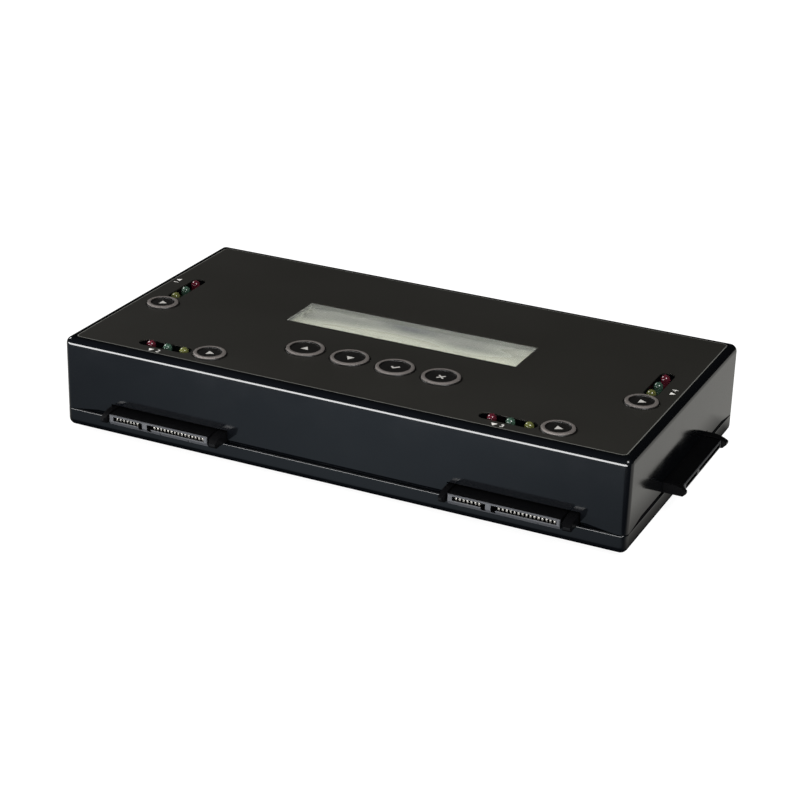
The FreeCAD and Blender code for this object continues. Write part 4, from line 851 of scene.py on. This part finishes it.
class ERASER_OT_keys(bpy.types.Operator):
    """Menu and start keys with their printed symbols"""

    bl_idname = "eraser.keys"
    bl_label = "Keys"

    def execute(self, context):
        look = context.scene.eraser_keys
        # Spark-eroded ABS: a satin black that never mirrors; its 0.2 mm grain is drawn at 0.4 mm.
        face = moulded("Satin moulded ABS", look.face_tint, 0.4, 0.004, (0.36, 0.46))
        ring = printed("Grey ring paint", look.ring_tint)
        white = printed("White pad print", look.legend_tint)
        # Acetal turned pale and waxy.
        stem = moulded("Moulded acetal", linear("#c9c2b4"), 0.5, 0.002, (0.35, 0.45))
        size = look.legend
        symbols = {
            "key_up": triangle(size, 90),
            "key_down": triangle(size, -90),
            "key_select": tick(size),
            "key_back": cross(size, 0.34 * size),
        }
        for name in MENU_KEYS + GO_KEYS:
            self.cap(name, look, [face, ring])
            outline = symbols.get(name, triangle(size, 0))
            self.legend(name, outline, look, context.scene.eraser_shell.ink_depth, white)
            paint_node(name + "_plunger", stem)
        return {"FINISHED"}

    def cap(self, name, look, materials):
        """A turned cap: stem, flange, barrel, a rounded ring and a slightly dished face."""
        low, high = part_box(name)
        middle = (low + high) / 2
        radius = (high.x - low.x) / 2 - look.flange
        face = high.z - look.rise
        ledge = self.flange_top(name)
        seat = ledge - look.flange_depth
        outline = [(0, low.z, 0), (look.stem, low.z, 0), (look.stem, seat, 0)]
        outline += [(radius + look.flange, seat, 0), (radius + look.flange, ledge, 0)]
        outline += [(radius, ledge, 0), (radius, face - look.shoulder, 0)]
        outer = radius - look.shoulder
        half = look.ring / 2
        outline += [(outer, face, 1)]
        for step in range(1, RING_STEPS):
            turn = math.pi * step / RING_STEPS
            # The paint ends past the crown, so the far side of each ring shows less of it.
            paint = 1 if step < PAINTED_STEPS else 0
            crown = face + look.rise * math.sin(turn) ** RING_FULLNESS
            outline.append((outer - half + half * math.cos(turn), crown, paint))
        inner = outer - look.ring
        outline += [(inner, face, 0), (0.6 * inner, face - look.dish * 2 / 3, 0), (0, face - look.dish, 0)]
        bm = turned(bmesh.new(), outline, (middle.x, middle.y, 0), KEY_SIDES)
        mesh = closed_mesh(bm, name + "_cap_mesh", 40)
        add_piece(name + "_face", mesh, name + "_cap", materials, [name])

    def flange_top(self, name):
        """Height of the flange's upper face, from the frame node."""
        low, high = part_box(name)
        edge = (high.x - low.x) / 2 - 5 * NEAR
        middle = (low + high) / 2
        return max(v.co.z for v in NODES[name].data.vertices if (v.co.xy - middle.xy).length > edge)

    def legend(self, name, outline, look, depth, material):
        """A printed symbol in the middle of the key's face."""
        low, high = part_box(name)
        middle = (low + high) / 2
        base = high.z - look.rise - NEAR
        bm = bmesh.new()
        prism(bm, moved(outline, middle.x, middle.y), base, base + depth)
        mesh = closed_mesh(bm, name + "_symbol")
        add_piece(name + "_symbol", mesh, name + "_cap", [material])


class ERASER_OT_display(bpy.types.Operator):
    """Display lens, cell and module"""

    bl_idname = "eraser.display"
    bl_label = "Display"

    def execute(self, context):
        look = context.scene.eraser_display
        lens = clear_acrylic(look.lens_tint)
        border = printed("Pale back print", look.border_tint)
        face = self.lens_face()
        mesh = self.lens(look, *face)
        add_piece("window_lens_pane", mesh, "case", [lens, border], ["display_window"])
        self.seal(look, *face)
        paint_node("display_glass", display_cell(look))
        # Pressed steel, coloured white as painted light: a fine orange-peel half gloss that lifts the shade
        # at the lens's border.
        paint_node("display_frame", moulded("Lacquered steel", look.frame_tint, 0.6, 0.006, (0.3, 0.4)))
        # Milky acrylic: a soft even white.
        guide = moulded("Milky acrylic", look.guide_tint, 2.0, 0.002, (0.25, 0.35))
        paint_node("display_light_guide", guide)
        return {"FINISHED"}

    def lens_face(self):
        """Two corners of the lens's upper face."""
        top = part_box("display_window")[1].z
        return box_of([v.co for v in NODES["display_window"].data.vertices if v.co.z > top - NEAR])

    def lens(self, look, low, high):
        """The stepped lens, with a pale printed border under its flange that stands in for light under the
        panel.
        """
        bm = bmesh.new()
        bm.from_mesh(smooth_copy("display_window", look.bevel))
        # The underside is parted just outside the face's outline, where the print begins.
        for corner, side in ((low, -1), (high, 1)):
            for way in (Vector((side, 0, 0)), Vector((0, side, 0))):
                parts = bm.verts[:] + bm.edges[:] + bm.faces[:]
                bmesh.ops.bisect_plane(bm, geom=parts, plane_co=corner + way * 2 * NEAR, plane_no=way)
        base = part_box("display_window")[0].z
        for vert in bm.verts:
            if vert.co.z < base + NEAR:
                vert.co.z += look.lens_lift
        for face in bm.faces:
            spot = face.calc_center_median()
            clear = low.x < spot.x < high.x and low.y < spot.y < high.y
            face.material_index = 1 if face.normal.z < -0.9 and not clear else 0
        return mesh_of(bm, "window_lens_mesh")

    def seal(self, look, low, high):
        """A foam seal round the opening, between the panel and the cell."""
        # Closed-cell foam, pale as painted light, so no dark gap of shade shows beside the cell.
        foam = moulded("Closed cell foam", look.border_tint, 0.4, 0.01, (0.7, 0.8))
        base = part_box("display_glass")[1].z + look.seal_gap
        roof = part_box("display_frame")[1].z + look.seal_gap
        bm = bmesh.new()
        rings = []
        for reach, height in ((0, base), (look.seal, base), (look.seal, roof), (0, roof)):
            x0, y0, x1, y1 = low.x - reach, low.y - reach, high.x + reach, high.y + reach
            corners = ((x0, y0), (x1, y0), (x1, y1), (x0, y1))
            rings.append([bm.verts.new((x, y, height)) for x, y in corners])
        for ring, after in zip(rings, rings[1:] + rings[:1]):
            for i in range(4):
                bm.faces.new([ring[i - 1], ring[i], after[i], after[i - 1]])
        add_piece("display_seal", closed_mesh(bm, "display_seal"), "case", [foam])


class ERASER_OT_lamps(bpy.types.Operator):
    """Twelve status lamps"""

    bl_idname = "eraser.lamps"
    bl_label = "Lamps"

    def execute(self, context):
        look = context.scene.eraser_lamps
        for name in LAMP_COLOURS:
            epoxy = lamp_epoxy(name, getattr(look, name))
            node_name = "lamps_" + name
            piece_name = node_name + "_domes"
            stand_in(node_name, piece_name, epoxy, lambda r, h: self.lamp(r, h, look))
        return {"FINISHED"}

    def lamp(self, radius, height, look):
        """One lamp: flange, barrel and dome."""
        barrel, seat, soft = radius - look.flange, look.flange_depth, look.flange_round
        outline = [(0, 0, 0), (radius - soft, 0, 0), (radius, soft, 0), (radius, seat - soft, 0)]
        outline += [(radius - soft, seat, 0), (barrel, seat, 0)]
        outline += [(r, z, 0) for r, z in arc((0, height - barrel), barrel, 0, 90, 12)][:-1]
        outline += [(0, height, 0)]
        return closed_mesh(turned(bmesh.new(), outline, sides=look.sides), "lamp_pattern", 50)


class ERASER_OT_ports(bpy.types.Operator):
    """Four drive ports and their contacts"""

    bl_idname = "eraser.ports"
    bl_label = "Drive ports"

    def execute(self, context):
        look = context.scene.eraser_ports
        # Glass-filled nylon: black, with a dry satin skin and fine fibre marks.
        nylon = moulded("Glass filled nylon", look.tint, 0.3, 0.004, (0.28, 0.38), 0.12)
        # Painted light: the nose's outward faces, where the front light falls, get a paler copy of the nylon.
        rubbed = moulded("Rubbed nylon", look.rubbed, 0.25, 0.006, (0.4, 0.5))
        # Bright tin over bronze, drawn along the strip.
        plating = metal("Tin plated bronze", look.plating, (0.36, 0.48), 0.25)
        for number in PORTS:
            name = f"drive_port_{number}"
            mesh = smooth_copy(name, look.edge)
            self.rub(mesh, port_place(number).inverted(), look)
            add_piece(name + "_housing", mesh, "case", [nylon, rubbed], [name])
            self.contacts(number, look, plating)
        return {"FINISHED"}

    def rub(self, mesh, to_port, look):
        """Gives the outward faces of the nose the paler finish, painted light where the front light falls."""
        turn = to_port.to_3x3()
        for face in mesh.polygons:
            outward = -(turn @ face.normal).y
            spot = to_port @ face.center
            on_nose = -spot.y > look.nose and abs(spot.x) < look.nose_half
            face.material_index = 1 if outward > 0.6 and on_nose else 0

    def contacts(self, number, look, plating):
        """Both rows of contacts, grown from a softened copy of the frame's first one."""
        name = f"drive_contacts_{number}"
        here = port_place(number)
        bm = welded(name)
        bmesh.ops.transform(bm, matrix=here.inverted(), verts=bm.verts)
        low, high = box_of([v.co for v in bm.verts])
        cut_to_box(bm, low, Vector((low.x + look.pitch / 2, high.y, high.z)))
        width = max(v.co.x for v in bm.verts) - low.x
        row = high.x - low.x - width
        join_flats(bm)
        bmesh.ops.translate(bm, vec=(-low.x - width / 2, 0, 0), verts=bm.verts)
        settings = {"width": look.contact_edge, "segments": 2, "limit_method": "ANGLE"}
        strip = applied(name + "_strip", mesh_of(bm, name + "_plain"), [("BEVEL", settings)])
        strip.materials.clear()
        ways = {"Signal_ways": look.signal_ways, "Power_ways": look.power_ways}
        mesh = grown(name + "_rows", contact_row_tree, strip, plating, Pitch=look.pitch, Length=row, **ways)
        mesh.transform(here)
        add_piece(name + "_rows", mesh, "case", [plating], [name])


class ERASER_OT_rear(bpy.types.Operator):
    """Power inlet, rocker switch and serial port"""

    bl_idname = "eraser.rear"
    bl_label = "Rear panel"

    def execute(self, context):
        look = context.scene.eraser_rear
        # Spark-eroded switch plastic: black satin.
        black = moulded("Moulded polyamide", look.black, 0.4, 0.004, (0.28, 0.38))
        # Nickel plate over pressed steel: warm bright grey with fine drawing marks.
        nickel = metal("Nickel plated steel", look.nickel, (0.22, 0.34), 0.3)
        # A gold flash on turned brass.
        gold = metal("Gold flashed brass", look.plating, (0.2, 0.3), 0.2)
        # Dull solderable tin.
        tin = metal("Tinned brass", linear("#b9bbbd"), (0.3, 0.42), 0.3)
        white = printed("White switch print", context.scene.eraser_shell.ink_tint)
        softened = {
            "dc_jack": ("connector_black", black),
            "power_switch_body": ("switch_black", black),
            "serial_shell": ("shell_nickel", nickel),
            "serial_lock_nuts": ("shell_nickel", nickel),
            "serial_insulator": ("connector_black", black),
        }
        for name, (slot, material) in softened.items():
            add_piece(name + "_finish", smooth_copy(name, look.edge), "case", [material], [name])
        paddle = smooth_copy("power_rocker", look.edge)
        add_piece("rocker_paddle", paddle, "rocker", [black], ["power_rocker"])
        self.rocker_marks(look, white)
        self.pins(gold)
        for name in ("dc_jack_pin", "power_switch_terminals"):
            paint_node(name, tin)
        return {"FINISHED"}

    def pins(self, gold):
        """Nine round-tipped pins."""
        boxes = loose_parts("serial_pins")
        low, high = boxes[0]
        radius, reach = (high.x - low.x) / 2, high.y - low.y
        outline = [(0, 0, 0), (radius, 0, 0)]
        outline += [(r, z, 0) for r, z in arc((0, reach - radius), radius, 0, 90, 6)][:-1]
        outline += [(0, reach, 0)]
        bm = turned(bmesh.new(), outline, sides=20)
        bmesh.ops.rotate(bm, matrix=Matrix.Rotation(-math.pi / 2, 3, "X"), verts=bm.verts)
        pattern = closed_mesh(bm, "pin_pattern", 50)
        spots = [((a.x + b.x) / 2, a.y, (a.z + b.z) / 2) for a, b in boxes]
        mesh = grown("serial_pin_rows", copies_tree, pattern, gold, spots)
        add_piece("serial_pin_rows", mesh, "case", [gold], ["serial_pins"])

    def rocker_marks(self, look, white):
        """A bar and a ring, printed on the two halves of the rocker's face."""
        halves = {}
        for face in NODES["power_rocker"].data.polygons:
            if face.normal.y > 0.85:
                halves.setdefault(round(face.normal.x, 2), []).append(face)
        flats = sorted(halves.values(), key=lambda faces: sum(f.area for f in faces))[-2:]
        flats.sort(key=lambda faces: faces[0].center.x)
        bm = bmesh.new()
        for faces, shape in zip(flats, ("ring", "bar")):
            area = sum(f.area for f in faces)
            spot = sum((f.center * f.area for f in faces), Vector()) / area
            out = faces[0].normal.copy()
            across = Vector((0, 0, 1)).cross(out).normalized()
            turn = Matrix((across, out.cross(across), out)).transposed().to_4x4()
            mark = bmesh.new()
            size, half, depth = look.mark_size, look.mark_line / 2, look.mark_depth
            if shape == "bar":
                prism(mark, [(-half, -size), (half, -size), (half, size), (-half, size)], 0, depth)
            else:
                inner = size - 2 * half
                section = [(inner, 0), (size, 0), (size, depth), (inner, depth), (inner, 0)]
                turned(mark, [(r, z, 0) for r, z in section])
                bmesh.ops.remove_doubles(mark, verts=mark.verts, dist=WELD / 2)
            mesh = closed_mesh(mark, "rocker_mark")
            mesh.transform(Matrix.Translation(spot) @ turn)
            bm.from_mesh(mesh)
        add_piece("rocker_marks", mesh_of(bm, "rocker_marks"), "rocker", [white])


class ERASER_OT_fasteners(bpy.types.Operator):
    """Screws and feet"""

    bl_idname = "eraser.fasteners"
    bl_label = "Screws and feet"

    def execute(self, context):
        look = context.scene.eraser_fasteners
        # Zinc plate, blackened: dark grey with a dull metal gleam.
        steel = metal("Black zinc plated steel", look.steel, (0.32, 0.45), 0.3)
        # Moulded rubber: matt black-brown, slightly dusty.
        rubber = moulded("Moulded rubber", look.rubber, 0.4, 0.01, (0.62, 0.76), 0.3)
        paint_node("board_screws", steel)
        stand_in("case_screws", "case_screw_set", steel, lambda r, h: self.screw(r, h, look))
        stand_in("rubber_feet", "rubber_foot_pads", rubber, lambda r, h: self.foot(r, h, look))
        return {"FINISHED"}

    def screw(self, radius, reach, look):
        """A screw with a rounded head and a cross recess, its head down at the origin."""
        soft = look.head_round
        outline = [(r, z, 0) for r, z in arc((radius - soft, -soft), soft, 90, 0, 4)]
        outline += [(radius, -look.head, 0), (look.shank, -look.head, 0)]
        outline += [(look.shank, -reach + look.shank, 0), (0.2 * look.shank, -reach, 0), (0, -reach, 0)]
        bm = turned(bmesh.new(), outline, sides=48)
        rim = [e for e in bm.edges if e.is_boundary]
        arms = cross(look.drive_reach, look.drive)
        upper = [bm.verts.new((x, y, 0)) for x, y in arms]
        # The recess narrows towards its floor.
        lower = [bm.verts.new((0.7 * x, 0.7 * y, -look.drive_depth)) for x, y in arms]
        edges = [bm.edges.new((upper[i - 1], upper[i])) for i in range(len(upper))]
        bmesh.ops.triangle_fill(bm, use_beauty=True, edges=rim + edges)
        for i in range(len(upper)):
            bm.faces.new([upper[i - 1], upper[i], lower[i], lower[i - 1]])
        bm.faces.new(lower)
        bmesh.ops.rotate(bm, matrix=Matrix.Rotation(math.pi, 3, "X"), verts=bm.verts)
        return closed_mesh(bm, "screw_pattern", 40)

    def foot(self, radius, height, look):
        """A round foot with a dished sole and a soft edge."""
        soft, dish = look.foot_round, look.foot_dish
        outline = [(0, dish, 0), (0.55 * radius, dish, 0), (0.7 * radius, 0, 0)]
        outline += [(r, z, 0) for r, z in arc((radius - soft, soft), soft, -90, 0, 6)]
        outline += [(radius, height, 0), (0, height, 0)]
        return closed_mesh(turned(bmesh.new(), outline, sides=48), "foot_pattern", 40)


class ERASER_OT_inside(bpy.types.Operator):
    """Boards and the parts on them"""

    bl_idname = "eraser.inside"
    bl_label = "Inside"

    def execute(self, context):
        board = solder_mask(linear("#1c4a2c"))
        # Plain black connector plastic with a dry satin skin.
        black = moulded("Moulded PBT", linear("#18191a"), 0.3, 0.004, (0.4, 0.5))
        # Filled epoxy, matt from the mould's fine blast.
        chips = moulded("Moulded epoxy", linear("#202124"), 0.2, 0.006, (0.5, 0.6))
        # Bare drawn aluminium cans.
        cans = metal("Drawn aluminium", linear("#c4c6c9"), (0.3, 0.4), 0.4)
        # Pressed and fired ferrite: dark grey and chalky.
        ferrite = moulded("Sintered ferrite", linear("#3a3a3d"), 0.3, 0.01, (0.6, 0.7), 0.3)
        # A thin gold flash: warm and bright.
        pins = metal("Gold flashed bronze", linear("#d7b265"), (0.2, 0.3), 0.2)
        # Dipped wire: a soft silvery grey.
        leads = metal("Tinned steel", linear("#bfc1c3"), (0.28, 0.4), 0.3)
        finishes = {
            "main_board": board,
            "control_board": board,
            "display_board": board,
            "controller_chips": chips,
            "capacitors": cans,
            "inductors": ferrite,
            "link_socket": black,
            "link_header": black,
            "display_header": black,
            "push_switches": black,
            "lamp_holders": black,
            "link_pins": pins,
            "lamp_leads": leads,
        }
        for name, material in finishes.items():
            paint_node(name, material)
        return {"FINISHED"}


class ERASER_OT_stage(bpy.types.Operator):
    """Floor, surroundings, lights and camera"""

    bl_idname = "eraser.stage"
    bl_label = "Stage"

    def execute(self, context):
        look = context.scene.eraser_stage
        self.floor(context, look)
        self.surroundings(context, look)
        self.lights(context, look)
        self.camera(context, look)
        context.scene.view_settings.view_transform = "Standard"
        return {"FINISHED"}

    def floor(self, context, look):
        bm = bmesh.new()
        bmesh.ops.create_circle(bm, cap_ends=True, segments=64, radius=FLOOR_RADIUS)
        obj = bpy.data.objects.new("floor", mesh_of(bm, "floor"))
        context.scene.collection.objects.link(obj)
        # Painted board: white to the eye. In the case's gloss it shows a painted reflection: black close to
        # the front wall as a painted shadow, then grey, darker towards both ends of that wall, black off the
        # front right corner, and paler at the sides and behind.
        material, tree = empty_material("Painted board")
        ray = node(tree, "ShaderNodeLightPath").outputs
        where = node(tree, "ShaderNodeTexCoord").outputs["Object"]
        axes = node(tree, "ShaderNodeSeparateXYZ", {"Vector": where}).outputs
        aside = node(tree, "ShaderNodeMath", {0: axes["X"]}, operation="ABSOLUTE")
        along = {"X": axes["X"], "Y": axes["Y"], "aside": aside}
        ramp = {}
        for name, (axis, first, last) in FLOOR_RAMPS.items():
            limits = {"Value": along[axis], "From Min": first, "From Max": last}
            ramp[name] = node(tree, "ShaderNodeMapRange", limits)
        limits = {"Factor": ramp["ends"], 2: 1.0, 3: FLOOR_END_LEVEL}
        ends = node(tree, "ShaderNodeMix", limits)
        front = node(tree, "ShaderNodeMath", {0: ramp["close"], 1: ends}, operation="MULTIPLY")
        tints = {"Factor": front, 6: BLACK, 7: look.front_glow}
        fore = node(tree, "ShaderNodeMix", tints, data_type="RGBA").outputs[2]
        around = node(tree, "ShaderNodeMath", {0: ramp["outer"], 1: ramp["behind"]}, operation="MAXIMUM")
        open_floor = node(tree, "ShaderNodeMath", {0: around, 1: ramp["rear"]}, operation="MULTIPLY")
        tints = {"Factor": open_floor, 6: fore, 7: look.side_glow}
        lit = node(tree, "ShaderNodeMix", tints, data_type="RGBA").outputs[2]
        ahead = node(tree, "ShaderNodeMath", {0: 1.0, 1: ramp["rear"]}, operation="SUBTRACT")
        corner = node(tree, "ShaderNodeMath", {0: ramp["right"], 1: ahead}, operation="MULTIPLY")
        tints = {"Factor": corner, 6: lit, 7: BLACK}
        mirrored = node(tree, "ShaderNodeMix", tints, data_type="RGBA").outputs[2]
        tints = {"Factor": ray["Is Glossy Ray"], 6: FLOOR_WHITE, 7: mirrored}
        tone = node(tree, "ShaderNodeMix", tints, data_type="RGBA").outputs[2]
        rays = {0: ray["Is Camera Ray"], 1: ray["Is Transmission Ray"]}
        seen = node(tree, "ShaderNodeMath", rays, operation="MAXIMUM")
        shown = node(tree, "ShaderNodeMath", {0: seen, 1: ray["Is Glossy Ray"]}, operation="MAXIMUM")
        glow = node(tree, "ShaderNodeEmission", {"Color": tone, "Strength": shown})
        paint = node(tree, "ShaderNodeBsdfDiffuse", {"Color": linear("#8c8c8c")})
        both = node(tree, "ShaderNodeAddShader", {0: glow, 1: paint})
        board = node(tree, "ShaderNodeMixShader", {0: ray["Is Glossy Ray"], 1: both, 2: glow})
        node(tree, "ShaderNodeOutputMaterial", {"Surface": board})
        obj.data.materials.append(material)

    def surroundings(self, context, look):
        """A white room to the eye, an even light on the object, and a dim upper room in its gloss."""
        world = bpy.data.worlds.new("studio")
        world.use_nodes = True
        tree = world.node_tree
        tree.nodes.clear()
        ray = node(tree, "ShaderNodeLightPath").outputs
        way = node(tree, "ShaderNodeTexCoord").outputs["Generated"]
        axes = node(tree, "ShaderNodeSeparateXYZ", {"Vector": way}).outputs
        limits = {"Value": axes["Z"], "From Min": 0.1, "From Max": 0.9}
        limits.update({"To Min": look.overhead, "To Max": 2.5 * look.overhead})
        upper = node(tree, "ShaderNodeMapRange", limits)
        level = node(tree, "ShaderNodeMix", {0: ray["Is Glossy Ray"], 2: look.ambient, 3: upper})
        shown = node(tree, "ShaderNodeMix", {0: ray["Is Camera Ray"], 2: level, 3: 1.0})
        sky = node(tree, "ShaderNodeBackground", {"Color": (1, 1, 1, 1), "Strength": shown})
        node(tree, "ShaderNodeOutputWorld", {"Surface": sky})
        context.scene.world = world

    def lights(self, context, look):
        powers = {"strip_light": look.strip, "left_light": look.spots, "right_light": look.spots}
        for name, (spot, aim, size) in LIGHTS.items():
            lamp = bpy.data.lights.new(name, "AREA")
            lamp.shape = "RECTANGLE"
            lamp.size, lamp.size_y = size
            lamp.energy = powers[name]
            obj = bpy.data.objects.new(name, lamp)
            obj.location = spot
            obj.rotation_euler = (Vector(aim) - Vector(spot)).to_track_quat("-Z", "Y").to_euler()
            obj.visible_camera = False
            context.scene.collection.objects.link(obj)

    def camera(self, context, look):
        camera = bpy.data.cameras.new("camera")
        camera.lens = look.lens
        camera.sensor_width = 36.0
        camera.clip_start = 0.01
        obj = bpy.data.objects.new("camera", camera)
        context.scene.collection.objects.link(obj)
        a, e, r = look.azimuth, look.elevation, look.roll
        back = Vector((math.sin(a) * math.cos(e), -math.cos(a) * math.cos(e), math.sin(e)))
        right = Vector((math.cos(a), math.sin(a), 0.0))
        up = back.cross(right)
        across = right * math.cos(r) + up * math.sin(r)
        above = up * math.cos(r) - right * math.sin(r)
        turn = Matrix((across, above, back)).transposed().to_4x4()
        obj.matrix_world = Matrix.Translation(look.eye) @ turn
        context.scene.camera = obj


class ERASER_PT_panel(bpy.types.Panel):
    bl_idname = "ERASER_PT_panel"
    bl_label = "Drive eraser"
    bl_space_type = "VIEW_3D"
    bl_region_type = "UI"
    bl_category = "Eraser"

    def draw(self, context):
        for operator in OPERATORS:
            self.layout.operator(operator.bl_idname)


SETTINGS = {
    "eraser_shell": ShellSettings,
    "eraser_keys": KeySettings,
    "eraser_display": DisplaySettings,
    "eraser_lamps": LampSettings,
    "eraser_ports": PortSettings,
    "eraser_rear": RearSettings,
    "eraser_fasteners": FastenerSettings,
    "eraser_stage": StageSettings,
}
OPERATORS = [
    ERASER_OT_shell,
    ERASER_OT_keys,
    ERASER_OT_display,
    ERASER_OT_lamps,
    ERASER_OT_ports,
    ERASER_OT_rear,
    ERASER_OT_fasteners,
    ERASER_OT_inside,
    ERASER_OT_stage,
]


def register():
    for group in SETTINGS.values():
        bpy.utils.register_class(group)
    for kind in OPERATORS + [ERASER_PT_panel]:
        bpy.utils.register_class(kind)
    for name, group in SETTINGS.items():
        setattr(bpy.types.Scene, name, PointerProperty(type=group))


def unregister():
    for name in SETTINGS:
        delattr(bpy.types.Scene, name)
    for kind in [ERASER_PT_panel] + OPERATORS[::-1]:
        bpy.utils.unregister_class(kind)
    for group in SETTINGS.values():
        bpy.utils.unregister_class(group)


def main():
    register()
    bpy.ops.eraser.shell()
    bpy.ops.eraser.keys()
    bpy.ops.eraser.display()
    bpy.ops.eraser.lamps()
    bpy.ops.eraser.ports()
    bpy.ops.eraser.rear()
    bpy.ops.eraser.fasteners()
    bpy.ops.eraser.inside()
    bpy.ops.eraser.stage()


if __name__ == "__main__":
    main()
